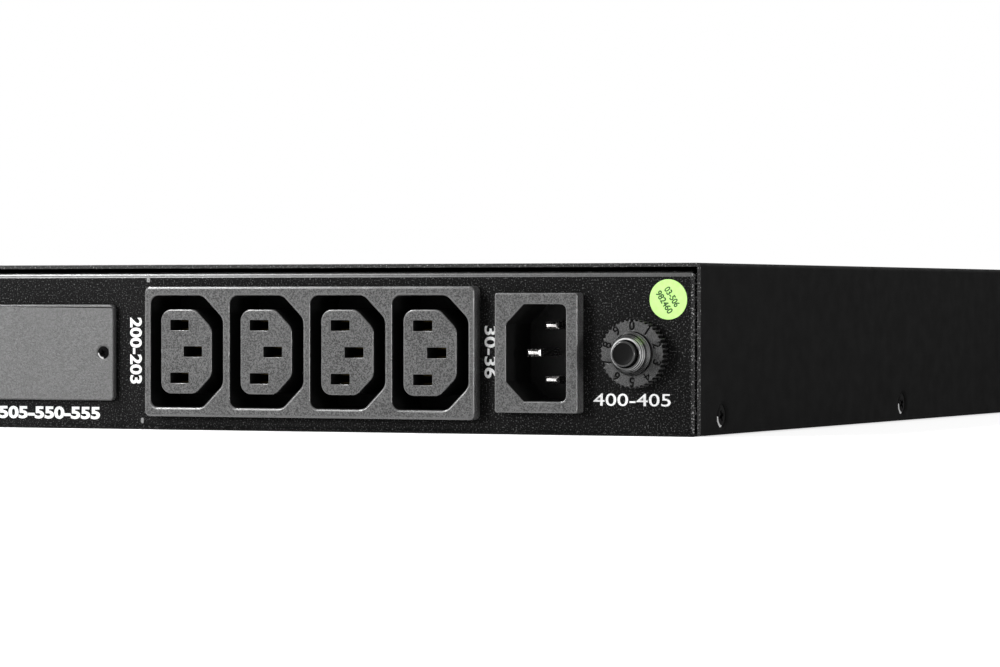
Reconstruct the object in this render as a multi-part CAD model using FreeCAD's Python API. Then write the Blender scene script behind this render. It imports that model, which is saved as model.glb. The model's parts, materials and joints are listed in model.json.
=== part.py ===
import FreeCAD, Part
import math
import os

# Rack uninterruptible power supply, one rack unit high, in millimetres.
# The origin is the middle of the footprint on the resting surface: X runs across the rack,
# -Y is the front with its display, +Y the rear panel with the sockets, +Z up.

Vector = FreeCAD.Vector

# Enclosure
body_height = 44.0
body_width = 438.0
chassis_depth = 380.0
bezel_depth = 20.0

# Folded chassis tray and its U-shaped cover
tray_thickness = 1.2
tray_bend = 1.5
cover_thickness = 1.0
cover_bend = 1.3
cover_side_gap = 0.4
cover_top_gap = 1.0
cover_floor_gap = 0.3
upstand_height = 12.0
rear_flange = 9.0
top_flange = 8.0
corner_relief = 1.9
flange_relief = 1.0

# Countersunk screws that hold the cover's sides to the tray
cover_screw_height = 5.0
cover_screw_first = 15.3
cover_screw_pitch = 142.8
cover_screw_rows = 3
cover_screw_head_r = 3.25
cover_screw_shank_r = 1.5
cover_screw_length = 6.5
dimple_r = 4.5
dimple_depth = 0.35

# Fits, and how far a cutter runs past what it cuts
overshoot = 1.0
thread_clearance = 0.05
fastener_facets = 8
turning_facets = 24
seat_clearance = 0.1
panel_clearance = 0.15
moving_clearance = 0.3

# Socket strip with four gangs, placed from the panel's corner nearest the breaker
gang_count = 4
gang_pitch = 23.75
strip_from_side = 109.3
strip_from_top = 23.05
strip_width = 96.5
strip_height = 34.5
strip_proud = 3.75
strip_corner = 1.4
strip_lip = 0.8
strip_floor = 3.0
socket_width = 21.7
socket_height = 29.6
socket_chamfer = 6.1
socket_chamfer_round = 3.0
socket_corner = 2.2
socket_depth = 17.0
core_width = 15.2
core_height = 22.4
core_chamfer = 4.9
slot_length = 5.5
slot_width = 2.8
slot_depth = 15.5
snap_width = 9.0
snap_length = 3.4
snap_rise = 1.0

# Contact positions shared by sockets and inlet: two blades on one line, earth beside them
blade_spacing = 14.0
earth_offset = 4.0
tab_width = 4.8
tab_thickness = 0.8
tab_length = 7.5
contact_leaf = 0.4
contact_reach = 10.0

# Appliance inlet
inlet_from_side = 43.7
inlet_from_top = 22.9
inlet_width = 23.1
inlet_height = 30.7
inlet_proud = 4.0
inlet_corner = 0.7
inlet_lip = 1.1
inlet_floor = 4.0
cavity_width = 16.7
cavity_height = 24.8
cavity_chamfer = 5.0
cavity_chamfer_round = 2.0
cavity_corner = 1.8
cavity_depth = 16.0
pin_width = 4.0
pin_thickness = 2.0
pin_bevel = 0.7
earth_recess = 3.0
blade_recess = 5.5

# Thermal breaker with its reset button
breaker_from_side = 17.4
breaker_from_top = 23.0
breaker_case_width = 15.0
breaker_case_height = 30.0
breaker_case_depth = 24.0
breaker_case_edge = 1.2
breaker_tab_inset = 6.0
breaker_bore_spare = 1.0
bush_flange_r = 7.0
bush_flange_thickness = 1.5
bush_r = 5.45
bush_rim_r = 4.15
bush_straight = 4.9
bush_proud = 7.7
bush_shoulder_along = 0.55
bush_shoulder_inward = 0.3
nut_r = 8.85
nut_tooth_depth = 0.45
nut_teeth = 42
nut_thickness = 3.3
button_r = 3.25
button_chamfer = 0.45
button_proud = 9.4
button_inner = 9.0
button_bore_gap = 0.2

# Round inspection sticker
sticker_r = 5.15
sticker_thickness = 0.12
sticker_from_side = 8.8
sticker_from_top = 9.25

# Expansion slot with its blanking plate
slot_plate_from_side = 194.0
slot_plate_from_top = 23.45
slot_plate_width = 52.0
slot_plate_height = 25.7
slot_plate_thickness = 1.9
slot_plate_corner = 1.2
slot_plate_margin = 4.8
slot_screw_inset = 3.1
slot_screw_head_r = 1.9
slot_screw_shank_r = 1.0
guide_length = 90.0
guide_wall = 1.2
guide_groove = 2.0
guide_reach = 4.0
card_thickness = 1.6

# Fan behind a punched grille
fan_from_far_side = 98.0
fan_size = 40.0
fan_depth = 20.0
fan_duct_r = 18.9
fan_hole_spacing = 32.0
fan_corner = 2.0
fan_plate_thickness = 1.6
fan_strut_width = 2.2
fan_floor_gap = 0.3
fan_flange_gap = 1.0
hub_r = 9.5
blade_count = 7
blade_thickness = 0.9
blade_tip_gap = 0.6
blade_chord = 12.0
blade_pitch = 42.0
rotor_length = 14.0
grille_hole_af = 6.0
grille_pitch = 7.3
fan_screw_head_r = 2.6
fan_screw_shank_r = 1.4
fan_screw_length = 9.0

# Rack ears
ear_reach = 22.3
ear_thickness = 2.0
ear_bend = 2.6
ear_height = 43.4
ear_leg = 62.0
rack_hole_from_side = 13.55
rack_hole_pitch = 31.75
rack_slot_length = 10.0
rack_slot_width = 7.0
ear_screw_first = 16.0
ear_screw_pitch = 32.0
ear_screw_spread = 24.0
ear_screw_head_r = 3.6
ear_screw_shank_r = 1.9
ear_screw_length = 7.0

# Moulded front bezel
bezel_height = 43.4
bezel_wall = 2.2
bezel_chamfer = 2.4
vent_rows = 6
vent_pitch = 5.4
vent_gap = 2.8
vent_slant = 1.6
vent_bay_width = 62.0
vent_bays_per_side = 2
vent_mullion = 4.0
vent_from_end = 14.0
hook_width = 7.0
hook_thickness = 1.8
hook_reach = 4.5
hook_catch = 1.2
hook_margin = 2.0
hook_root = 6.0
hook_shoulder = 1.0
hook_clearance = 1.0

# Display and keys, in the middle of the bezel
window_width = 66.0
window_height = 25.0
window_thickness = 1.5
window_corner = 2.0
window_ledge = 2.0
window_from_middle = -12.0
lcd_thickness = 6.5
lcd_margin = 0.5
lcd_glass_margin = 4.0
lcd_glass_sink = 0.6
display_board_margin = 6.0
display_board_gap = 1.0
board_thickness = 1.6
boss_width = 5.0
boss_inset = 3.6
stake_width = 2.0
stake_proud = 0.8
key_width = 12.0
key_height = 7.0
key_corner = 1.0
key_first_gap = 12.0
key_pitch = 17.0
key_sink = 0.3
key_travel = 1.2
key_flange = 1.2
key_flange_thickness = 1.1
switch_size = 6.0
switch_height = 3.5
plunger_share = 0.2

# Batteries, laid flat side by side in two rows
battery_length = 151.0
battery_depth = 94.0
battery_height = 34.0
battery_lid = 8.0
battery_lid_groove = 0.5
battery_gap = 1.0
battery_front_margin = 6.0
battery_terminal_inset = 14.0
battery_tab_width = 6.3
battery_tab_length = 5.5
battery_row_gap = 7.5
strap_thickness = 1.0
strap_width = 22.0
strap_foot = 8.0
strap_screw_head = 3.2
strap_screw_head_height = 2.2
strap_screw_shank = 1.6

# Transformer
core_span = 96.0
core_length = 80.0
core_stack = 26.0
core_leg = 32.0
core_yoke = 16.0
coil_height = 37.4
coil_gap = 0.3
coil_round = 4.0
transformer_from_side = 61.0
transformer_gap = 9.0
transformer_lift = 6.2
bracket_thickness = 1.5
bracket_foot = 8.0
bracket_setback = 2.0

# Main board and what it carries
main_board_gap = 14.0
main_board_side_gap = 20.4
main_board_from_batteries = 15.3
main_board_from_panel = 40.0
main_board_lift = 6.0
support_width = 6.0
support_inset = 6.0
support_columns = 3
support_peg = 2.8
support_barb = 0.5
support_tip = 2.6
sink_width = 56.0
sink_length = 60.0
sink_height = 26.0
sink_base = 4.0
sink_fins = 9
sink_fin_thickness = 1.6
sink_from_board_front = 20.0
transistor_count = 4
transistor_pitch = 14.4
transistor_width = 8.0
transistor_height = 15.0
transistor_thickness = 4.5
transistor_tab = 5.0
transistor_tab_thickness = 1.3
transistor_leg = 3.0
transistor_leg_pitch = 2.54
transistor_leg_width = 0.8
transistor_leg_thickness = 0.6
capacitor_count = 3
capacitor_r = 10.0
capacitor_height = 27.0
capacitor_pitch = 23.0
capacitor_from_sink = 34.0
relay_count = 5
relay_length = 19.0
relay_width = 15.2
relay_height = 15.4
relay_pitch = 17.5
relay_edge = 1.0
choke_from_side_edge = 54.0
choke_from_front_edge = 8.0
choke_width = 30.0
choke_depth = 26.0
choke_height = 15.0
choke_limb = 6.0
choke_coil_height = 20.0

# Reference planes
overall_depth = bezel_depth + chassis_depth + button_proud
panel_y = overall_depth / 2 - button_proud
front_y = panel_y - chassis_depth
bezel_y = front_y - bezel_depth
side_x = body_width / 2
tray_x = side_x - cover_thickness - cover_side_gap
tray_top = body_height - cover_thickness - cover_top_gap
front_side_flange = ear_leg + 4.0
panel_inner_y = panel_y - tray_thickness
front_inner_y = front_y + tray_thickness
wall_z = (body_height - bezel_height) / 2
middle_z = body_height / 2
board_top = tray_thickness + main_board_lift + board_thickness

PLANES = {
    "XY": (lambda a, b: Vector(a, b, 0), Vector(0, 0, 1)),
    "XZ": (lambda a, b: Vector(a, 0, b), Vector(0, 1, 0)),
    "YZ": (lambda a, b: Vector(0, a, b), Vector(1, 0, 0)),
}


def box(x0, x1, y0, y1, z0, z1):
    return Part.makeBox(x1 - x0, y1 - y0, z1 - z0, Vector(x0, y0, z0))


def outline(corners, radii, plane):
    """Closed wire through flat corner points, each corner rounded by its own radius."""
    place, _ = PLANES[plane]
    points = [place(a, b) for a, b in corners]
    edges = []
    joins = []
    for i, corner in enumerate(points):
        radius = radii[i]
        if radius <= 0:
            joins.append((corner, corner))
            continue
        back = (points[i - 1] - corner).normalize()
        ahead = (points[(i + 1) % len(points)] - corner).normalize()
        half = back.getAngle(ahead) / 2
        setback = radius / math.tan(half)
        middle = corner + (back + ahead).normalize() * (radius / math.sin(half) - radius)
        start = corner + back * setback
        end = corner + ahead * setback
        joins.append((start, end))
        edges.append((i, Part.Arc(start, middle, end).toShape()))
    arcs = dict(edges)
    chain = []
    for i, (start, end) in enumerate(joins):
        if i in arcs:
            chain.append(arcs[i])
        following = joins[(i + 1) % len(joins)][0]
        if (following - end).Length > 1e-6:
            chain.append(Part.LineSegment(end, following).toShape())
    return Part.Wire(chain)


def prism(corners, radii, plane, start, end):
    """Rounded outline carried along its plane's normal from start to end."""
    _, normal = PLANES[plane]
    face = Part.Face(outline(corners, radii, plane))
    face.translate(normal * start)
    return face.extrude(normal * (end - start))


def rounded_plate(width, height, corner, plane, start, end, centre=(0.0, 0.0)):
    a, b = centre
    half_w = width / 2
    half_h = height / 2
    low, high = b - half_h, b + half_h
    corners = [(a - half_w, low), (a + half_w, low), (a + half_w, high), (a - half_w, high)]
    return prism(corners, [corner] * 4, plane, start, end)


def folded_sheet(path, thickness, bend, plane, start, end):
    """Sheet folded along a path of outer faces, with the metal on the path's left."""
    steps = []
    for (a0, b0), (a1, b1) in zip(path, path[1:]):
        length = math.hypot(a1 - a0, b1 - b0)
        steps.append(((a1 - a0) / length, (b1 - b0) / length))
    outer_radii = [0.0]
    inner = [(path[0][0] - steps[0][1] * thickness, path[0][1] + steps[0][0] * thickness)]
    inner_radii = [0.0]
    for i in range(1, len(path) - 1):
        (ax, ay), (bx, by) = steps[i - 1], steps[i]
        share = thickness / (1 + ax * bx + ay * by)
        inner.append((path[i][0] - (ay + by) * share, path[i][1] + (ax + bx) * share))
        turns_left = ax * by - ay * bx > 0
        outer_radii.append(bend if turns_left else bend - thickness)
        inner_radii.append(bend - thickness if turns_left else bend)
    inner.append((path[-1][0] - steps[-1][1] * thickness, path[-1][1] + steps[-1][0] * thickness))
    outer_radii.append(0.0)
    inner_radii.append(0.0)
    return prism(path + inner[::-1], outer_radii + inner_radii[::-1], plane, start, end)


def faceted(profile, point, axis, facets=fastener_facets):
    """Like a turning, but with flat facets: for small turned pieces and their holes."""
    turns = [2 * math.pi * (k + 0.5) / facets for k in range(facets)]
    rings = [
        [Vector(radius * math.cos(turn), radius * math.sin(turn), along) for turn in turns]
        for along, radius in profile
    ]
    faces = []
    for (_, radius), (_, following), ring, ahead in zip(profile, profile[1:], rings, rings[1:]):
        for k in range(facets):
            after = (k + 1) % facets
            corners = [ring[k], ring[after]] if radius > 0 else [ring[k]]
            corners += [ahead[after], ahead[k]] if following > 0 else [ahead[k]]
            faces.append(Part.Face(Part.makePolygon(corners + [corners[0]])))
    shell = Part.makeShell(faces)
    shell.sewShape()
    solid = Part.makeSolid(shell)
    if solid.Volume < 0:
        solid.reverse()
    return placed(solid.removeSplitter(), point, axis)


def bored(profile, bore_r, centre):
    """Faceted turning along Y with a hole right through it."""
    axis = Vector(0, 1, 0)
    start, end = profile[0][0] - overshoot, profile[-1][0] + overshoot
    hole = faceted([(start, 0), (start, bore_r), (end, bore_r), (end, 0)], centre, axis, turning_facets)
    return faceted(profile, centre, axis, turning_facets).cut(hole)


def placed(shape, point, axis):
    """Copy of a shape made along +Z, turned to an axis and moved to a point."""
    moved = shape.copy()
    moved.Placement = FreeCAD.Placement(point, FreeCAD.Rotation(Vector(0, 0, 1), axis))
    return moved


def joined(shapes):
    return shapes[0].fuse(shapes[1:]).removeSplitter()


def mirrored(shape):
    return shape.mirror(Vector(0, 0, 0), Vector(1, 0, 0))


def on_panel(from_side, from_top, proud=0.0):
    """Point on the rear panel, counted from the corner nearest the breaker."""
    return Vector(from_side - side_x, panel_y + proud, body_height - from_top)


def countersink_depth(head_r, shank_r):
    return head_r - shank_r


def countersunk_screw(head_r, shank_r, length, point, axis):
    """Flat-headed screw with its head's face at the point."""
    cone = countersink_depth(head_r, shank_r)
    return faceted([(0, 0), (0, head_r), (-cone, shank_r), (-length, shank_r), (-length, 0)], point, axis)


def countersunk_hole(head_r, shank_r, depth, point, axis, clearance):
    """Cutter for a countersunk hole whose rim lies at the point."""
    rim_r = head_r + clearance
    hole_r = shank_r + clearance
    cone = countersink_depth(head_r, shank_r)
    profile = [
        (clearance, 0), (clearance, rim_r), (0, rim_r), (-cone, hole_r), (-depth, hole_r), (-depth, 0),
    ]
    return faceted(profile, point, axis)


def plain_hole(radius, depth, point, axis):
    """Cutter that runs from the point down its axis."""
    return faceted([(0, 0), (0, radius), (-depth, radius), (-depth, 0)], point, axis)


def hexagon(radius, centre):
    a, b = centre
    turns = [math.radians(60 * k) for k in range(6)]
    return [(a + radius * math.sin(turn), b + radius * math.cos(turn)) for turn in turns]


def connector_outline(width, height, chamfer, chamfer_round, corner, side):
    """Oblong connector outline with its two chamfered corners on the side given as +1 or -1."""
    edge = side * width / 2
    low = edge - side * chamfer
    half_h = height / 2
    corners = [(edge, half_h - chamfer), (edge, chamfer - half_h), (low, -half_h), (-edge, -half_h),
               (-edge, half_h), (low, half_h)]
    radii = [chamfer_round, chamfer_round, chamfer_round, corner, corner, chamfer_round]
    return corners, radii


def cover_screw_places():
    """Distance along Y of each screw row, from the rear edge forward."""
    return [panel_y - cover_screw_first - i * cover_screw_pitch for i in range(cover_screw_rows)]


def ear_screw_places():
    """Two screws one above the other near the rack face and one behind them."""
    spread = ear_screw_spread / 2
    first = front_y + ear_screw_first
    return [(first, middle_z - spread), (first, middle_z + spread), (first + ear_screw_pitch, middle_z)]


def fan_centre():
    z = tray_thickness + fan_floor_gap + fan_size / 2
    return Vector(side_x - fan_from_far_side, panel_inner_y, z)


def fan_hole_places():
    centre = fan_centre()
    half = fan_hole_spacing / 2
    return [(centre.x + dx, centre.z + dz) for dx in (-half, half) for dz in (-half, half)]


def gang_places():
    first = strip_from_side - gang_pitch * (gang_count - 1) / 2
    return [first + i * gang_pitch for i in range(gang_count)]


def slot_screw_places():
    reach = slot_plate_width / 2 - slot_screw_inset
    return [slot_plate_from_side - reach, slot_plate_from_side + reach]


def vent_bays():
    """Low and high X of each louvred bay, mirrored about the middle."""
    bays = []
    for i in range(vent_bays_per_side):
        high = side_x - vent_from_end - i * (vent_bay_width + vent_mullion)
        bays.append((high - vent_bay_width, high))
        bays.append((-high, vent_bay_width - high))
    return bays


def hook_places():
    """Middle X of each bezel hook, beside the louvred bays."""
    reach = hook_width / 2 + hook_margin
    inner = min(low for low, high in vent_bays() if low > 0) - reach
    outer = max(high for low, high in vent_bays()) + reach
    return [-outer, -inner, inner, outer]


def key_places():
    first = window_from_middle + window_width / 2 + key_first_gap
    return [first, first + key_pitch]


def grille_holes():
    """Hexagonal punch-outs on a triangular grid inside the fan's duct."""
    centre = fan_centre()
    reach = fan_duct_r - grille_hole_af / 2
    row_pitch = grille_pitch * math.sqrt(3) / 2
    rows = int(reach / row_pitch)
    corner_r = grille_hole_af / math.sqrt(3)
    holes = []
    for row in range(-rows, rows + 1):
        shift = grille_pitch / 2 if row % 2 else 0.0
        columns = int(reach / grille_pitch) + 1
        for column in range(-columns, columns + 1):
            x = column * grille_pitch + shift
            z = row * row_pitch
            if math.hypot(x, z) > reach:
                continue
            corners = hexagon(corner_r, (centre.x + x, centre.z + z))
            holes.append(prism(corners, [0] * 6, "XZ", panel_inner_y - overshoot, panel_y + overshoot))
    return holes


def chassis_tray():
    """Floor, front wall and rear panel folded from one sheet, with return flanges and open corners."""
    fold = dict(thickness=tray_thickness, bend=tray_bend)
    inner_x = tray_x - corner_relief
    length_path = [
        (front_y + top_flange, tray_top), (front_y, tray_top), (front_y, 0),
        (panel_y, 0), (panel_y, tray_top), (panel_y - top_flange, tray_top),
    ]
    spine = folded_sheet(length_path, plane="YZ", start=-inner_x, end=inner_x, **fold)
    floor_path = [(-tray_x, upstand_height), (-tray_x, 0), (tray_x, 0), (tray_x, upstand_height)]
    floor_front = front_y + front_side_flange + flange_relief
    floor = folded_sheet(
        floor_path, plane="XZ", start=floor_front, end=panel_y - rear_flange - flange_relief, **fold)
    rear_path = [
        (tray_x, panel_y - rear_flange), (tray_x, panel_y), (-tray_x, panel_y),
        (-tray_x, panel_y - rear_flange),
    ]
    rear = folded_sheet(
        rear_path, plane="XY", start=corner_relief, end=tray_top - corner_relief, **fold)
    front_path = [
        (-tray_x, front_y + front_side_flange), (-tray_x, front_y), (tray_x, front_y),
        (tray_x, front_y + front_side_flange),
    ]
    front = folded_sheet(
        front_path, plane="XY", start=corner_relief, end=tray_top - corner_relief, **fold)
    tray = joined([spine, floor, rear, front])
    return tray.cut(rear_cutters() + front_cutters() + side_cutters() + strap_cutters())


def cutout(centre, width, height, through):
    """Square-cornered opening in the rear panel for a moulding of the given size."""
    half_w = width / 2 + panel_clearance
    half_h = height / 2 + panel_clearance
    return box(centre.x - half_w, centre.x + half_w, *through, centre.z - half_h, centre.z + half_h)


def rear_cutters():
    through = (panel_inner_y - overshoot, panel_y + overshoot)
    strip = on_panel(strip_from_side, strip_from_top)
    inlet = on_panel(inlet_from_side, inlet_from_top)
    breaker = on_panel(breaker_from_side, breaker_from_top)
    plate = on_panel(slot_plate_from_side, slot_plate_from_top)
    fan = fan_centre()
    reach = tray_thickness + overshoot
    breaker_hole_r = bush_r + panel_clearance
    cutters = [
        cutout(strip, strip_width - 2 * strip_lip, strip_height - 2 * strip_lip, through),
        cutout(inlet, inlet_width - 2 * inlet_lip, inlet_height - 2 * inlet_lip, through),
        faceted(
            [(-reach, 0), (-reach, breaker_hole_r), (overshoot, breaker_hole_r), (overshoot, 0)], breaker,
            Vector(0, 1, 0), turning_facets),
        cutout(plate, slot_plate_width - 2 * slot_plate_margin, slot_plate_height - slot_plate_margin,
               through),
        box(fan.x - fan_size / 2 - fan_flange_gap, fan.x + fan_size / 2 + fan_flange_gap,
            panel_y - top_flange - overshoot, panel_inner_y, tray_top - tray_bend - fan_flange_gap,
            tray_top + overshoot),
    ]
    for from_side in slot_screw_places():
        point = on_panel(from_side, slot_plate_from_top)
        cutters.append(plain_hole(
            slot_screw_shank_r + thread_clearance, tray_thickness + 2 * overshoot,
            point + Vector(0, overshoot, 0), Vector(0, 1, 0)))
    for x, z in fan_hole_places():
        cutters.append(countersunk_hole(
            fan_screw_head_r, fan_screw_shank_r, tray_thickness + overshoot, Vector(x, panel_y, z),
            Vector(0, 1, 0), thread_clearance))
    return cutters + grille_holes()


def front_cutters():
    """Openings in the front wall for air, the display and keys, and the bezel's hooks."""
    y0 = front_y - overshoot
    y1 = front_inner_y + overshoot
    cutters = []
    for low, high in vent_bays():
        half = vent_rows * vent_pitch / 2
        cutters.append(box(low, high, y0, y1, middle_z - half, middle_z + half))
    board_low, board_high = display_board_span()
    half_h = display_board_half_height() + seat_clearance
    board_low -= display_board_gap
    board_high += display_board_gap
    cutters.append(box(board_low, board_high, y0, y1, middle_z - half_h, middle_z + half_h))
    for x in hook_places():
        half_w = hook_width / 2 + panel_clearance
        for side in (-1, 1):
            near = middle_z + side * (hook_level() - hook_thickness / 2 - hook_catch - panel_clearance)
            far = middle_z + side * (hook_level() + hook_thickness / 2 + panel_clearance)
            cutters.append(box(x - half_w, x + half_w, y0, y1, min(near, far), max(near, far)))
    return cutters


def side_cutters():
    """Countersunk thread holes for the cover's screws and plain ones for the ears' screws."""
    cutters = []
    for side in (-1, 1):
        axis = Vector(side, 0, 0)
        for y in cover_screw_places():
            head = Vector(side * (side_x - dimple_depth), y, cover_screw_height)
            cutters.append(countersunk_hole(
                cover_screw_head_r, cover_screw_shank_r, cover_screw_length + overshoot, head, axis,
                thread_clearance))
        for y, z in ear_screw_places():
            start = Vector(side * (tray_x + overshoot), y, z)
            cutters.append(plain_hole(
                ear_screw_shank_r + thread_clearance, tray_thickness + 2 * overshoot, start, axis))
    return cutters


def strap_cutters():
    """Holes in the tray's floor for the battery straps' screws."""
    width = strap_screw_shank + thread_clearance
    return [
        prism(hexagon(width, place), [0] * 6, "XY", -overshoot, tray_thickness + overshoot)
        for place in strap_screw_places()
    ]


def top_cover():
    """U-shaped cover, its sides dimpled round each screw."""
    path = [
        (side_x, cover_floor_gap), (side_x, body_height), (-side_x, body_height), (-side_x, cover_floor_gap),
    ]
    sheet = folded_sheet(path, cover_thickness, cover_bend, "XZ", front_y, panel_y)
    cutters = []
    for side in (-1, 1):
        axis = Vector(side, 0, 0)
        for y in cover_screw_places():
            face = Vector(side * side_x, y, cover_screw_height)
            land_r = cover_screw_head_r + seat_clearance
            dimple = [(0, 0), (0, dimple_r), (-dimple_depth, land_r), (-dimple_depth, 0)]
            cutters.append(faceted(dimple, face, axis))
            cutters.append(countersunk_hole(
                cover_screw_head_r, cover_screw_shank_r, cover_thickness + overshoot,
                face - axis * dimple_depth, axis, thread_clearance))
        for y, z in ear_screw_places():
            start = Vector(side * (side_x + overshoot), y, z)
            cutters.append(plain_hole(
                ear_screw_shank_r + seat_clearance, cover_thickness + 2 * overshoot, start, axis))
    return sheet.cut(cutters)


def cover_screws():
    screws = []
    for side in (-1, 1):
        for y in cover_screw_places():
            head = Vector(side * (side_x - dimple_depth), y, cover_screw_height)
            screws.append(countersunk_screw(
                cover_screw_head_r, cover_screw_shank_r, cover_screw_length, head, Vector(side, 0, 0)))
    return screws


def rack_ear_right():
    """L-shaped steel ear on the +X side with two rack slots and a leg screwed through the cover."""
    path = [(side_x, front_y + ear_leg), (side_x, front_y), (side_x + ear_reach, front_y)]
    low = (body_height - ear_height) / 2
    ear = folded_sheet(path, ear_thickness, ear_bend, "XY", low, low + ear_height)
    cutters = []
    for side in (-1, 1):
        cutters.append(rounded_plate(
            rack_slot_length, rack_slot_width, rack_slot_width / 2, "XZ", front_y - overshoot,
            front_y + ear_thickness + overshoot,
            centre=(side_x + rack_hole_from_side, middle_z + side * rack_hole_pitch / 2)))
    for y, z in ear_screw_places():
        head = Vector(side_x + ear_thickness, y, z)
        cutters.append(countersunk_hole(
            ear_screw_head_r, ear_screw_shank_r, ear_thickness + overshoot, head, Vector(1, 0, 0),
            seat_clearance))
    return ear.cut(cutters)


def ear_screws():
    screws = []
    for side in (-1, 1):
        for y, z in ear_screw_places():
            head = Vector(side * (side_x + ear_thickness), y, z)
            screws.append(countersunk_screw(
                ear_screw_head_r, ear_screw_shank_r, ear_screw_length, head, Vector(side, 0, 0)))
    return screws


def contact_offsets(side):
    """Across and up offsets of the two blades and the earth, earth towards the chamfered side."""
    half = earth_offset / 2
    return [(-side * half, blade_spacing / 2), (side * half, 0.0), (-side * half, -blade_spacing / 2)]


def snap_wedges(x, z, half_height):
    """Two wedges that catch behind the panel, above and below a moulding's body."""
    start_y = panel_inner_y - seat_clearance
    wedges = []
    for up in (-1, 1):
        root_z = z + up * half_height
        corners = [
            (start_y, root_z), (start_y, root_z + up * snap_rise), (start_y - snap_length, root_z),
        ]
        wedges.append(prism(corners, [0] * 3, "YZ", x - snap_width / 2, x + snap_width / 2))
    return wedges


def outlet_block():
    """Moulded strip: four chamfered wells, each round a core with three contact slots."""
    side = -1
    centre = on_panel(strip_from_side, strip_from_top)
    face_y = panel_y + strip_proud
    floor_y = face_y - socket_depth
    back_y = floor_y - strip_floor
    middle = (centre.x, centre.z)
    flange = rounded_plate(strip_width, strip_height, strip_corner, "XZ", panel_y, face_y, middle)
    half_w = strip_width / 2 - strip_lip
    body_h = strip_height - 2 * strip_lip
    body = box(centre.x - half_w, centre.x + half_w, back_y, panel_y, centre.z - body_h / 2,
               centre.z + body_h / 2)
    pieces = [flange, body]
    for from_side in (gang_places()[0], gang_places()[-1]):
        pieces += snap_wedges(from_side - side_x, centre.z, body_h / 2)
    block = joined(pieces)
    wells = []
    cores = []
    slots = []
    for from_side in gang_places():
        x = from_side - side_x
        well, well_radii = connector_outline(
            socket_width, socket_height, socket_chamfer, socket_chamfer_round, socket_corner, side)
        core, core_radii = connector_outline(core_width, core_height, core_chamfer, 0.0, 0.0, side)
        wells.append(prism([(x + a, centre.z + b) for a, b in well], well_radii, "XZ", floor_y,
                           face_y + overshoot))
        cores.append(prism([(x + a, centre.z + b) for a, b in core], core_radii, "XZ", floor_y - overshoot,
                           face_y))
        for across, up in contact_offsets(side):
            slot_x = x + across
            slot_z = centre.z + up
            half_l = slot_length / 2
            half_w = slot_width / 2
            slots.append(box(
                slot_x - half_l, slot_x + half_l, face_y - slot_depth, face_y + overshoot, slot_z - half_w,
                slot_z + half_w))
            tab_w = tab_width / 2 + thread_clearance
            tab_t = tab_thickness / 2 + thread_clearance
            slots.append(box(
                slot_x - tab_w, slot_x + tab_w, back_y - overshoot, face_y - slot_depth, slot_z - tab_t,
                slot_z + tab_t))
    return block.cut(wells).fuse(cores).cut(slots).removeSplitter()


def outlet_contacts():
    """Sprung brass clips at the bottom of the slots, each with a tab out of the strip's back."""
    side = -1
    floor_y = panel_y + strip_proud - slot_depth
    back_y = panel_y + strip_proud - socket_depth - strip_floor
    centre_z = on_panel(strip_from_side, strip_from_top).z
    clips = []
    for from_side in gang_places():
        for across, up in contact_offsets(side):
            x = from_side - side_x + across
            z = centre_z + up
            x0 = x - tab_width / 2
            x1 = x + tab_width / 2
            half = slot_width / 2 - seat_clearance
            web = box(x0, x1, floor_y, floor_y + contact_leaf, z - half, z + half)
            upper = box(x0, x1, floor_y, floor_y + contact_reach, z + half - contact_leaf, z + half)
            lower = box(x0, x1, floor_y, floor_y + contact_reach, z - half, z - half + contact_leaf)
            tab = box(x0, x1, back_y - tab_length, floor_y + contact_leaf, z - tab_thickness / 2,
                      z + tab_thickness / 2)
            clips.append(joined([web, upper, lower, tab]))
    return clips


def inlet_body():
    """Moulded appliance inlet, its chamfered cavity open to the rear."""
    side = 1
    centre = on_panel(inlet_from_side, inlet_from_top)
    face_y = panel_y + inlet_proud
    floor_y = face_y - cavity_depth
    back_y = floor_y - inlet_floor
    middle = (centre.x, centre.z)
    flange = rounded_plate(inlet_width, inlet_height, inlet_corner, "XZ", panel_y, face_y, middle)
    half_w = inlet_width / 2 - inlet_lip
    body_h = inlet_height - 2 * inlet_lip
    body = box(centre.x - half_w, centre.x + half_w, back_y, panel_y, centre.z - body_h / 2,
               centre.z + body_h / 2)
    pieces = [flange, body]
    pieces += snap_wedges(centre.x, centre.z, body_h / 2)
    corners, radii = connector_outline(
        cavity_width, cavity_height, cavity_chamfer, cavity_chamfer_round, cavity_corner, side)
    corners = [(centre.x + a, centre.z + b) for a, b in corners]
    cavity = prism(corners, radii, "XZ", floor_y, face_y + overshoot)
    holes = []
    for across, up in contact_offsets(side):
        x = centre.x + across
        z = centre.z + up
        half_w = pin_width / 2 + thread_clearance
        half_t = pin_thickness / 2 + thread_clearance
        holes.append(box(
            x - half_w, x + half_w, back_y - overshoot, floor_y + overshoot, z - half_t, z + half_t))
    return joined(pieces).cut([cavity] + holes)


def inlet_pins():
    """Three flat pins with bevelled tips, each with a tab out of the inlet's back."""
    side = 1
    centre = on_panel(inlet_from_side, inlet_from_top)
    face_y = panel_y + inlet_proud
    back_y = face_y - cavity_depth - inlet_floor
    pins = []
    for across, up in contact_offsets(side):
        x = centre.x + across
        z = centre.z + up
        recess = earth_recess if up == 0 else blade_recess
        tip_y = face_y - recess
        half_w = pin_width / 2
        half_t = pin_thickness / 2
        pin = box(x - half_w, x + half_w, back_y, tip_y, z - half_t, z + half_t)
        tip_edges = [e for e in pin.Edges if min(v.Y for v in e.Vertexes) > tip_y - 1e-6]
        pin = pin.makeChamfer(pin_bevel, tip_edges)
        tab = box(x - tab_width / 2, x + tab_width / 2, back_y - tab_length, back_y, z - tab_thickness / 2,
                  z + tab_thickness / 2)
        pins.append(joined([pin, tab]))
    return pins


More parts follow.
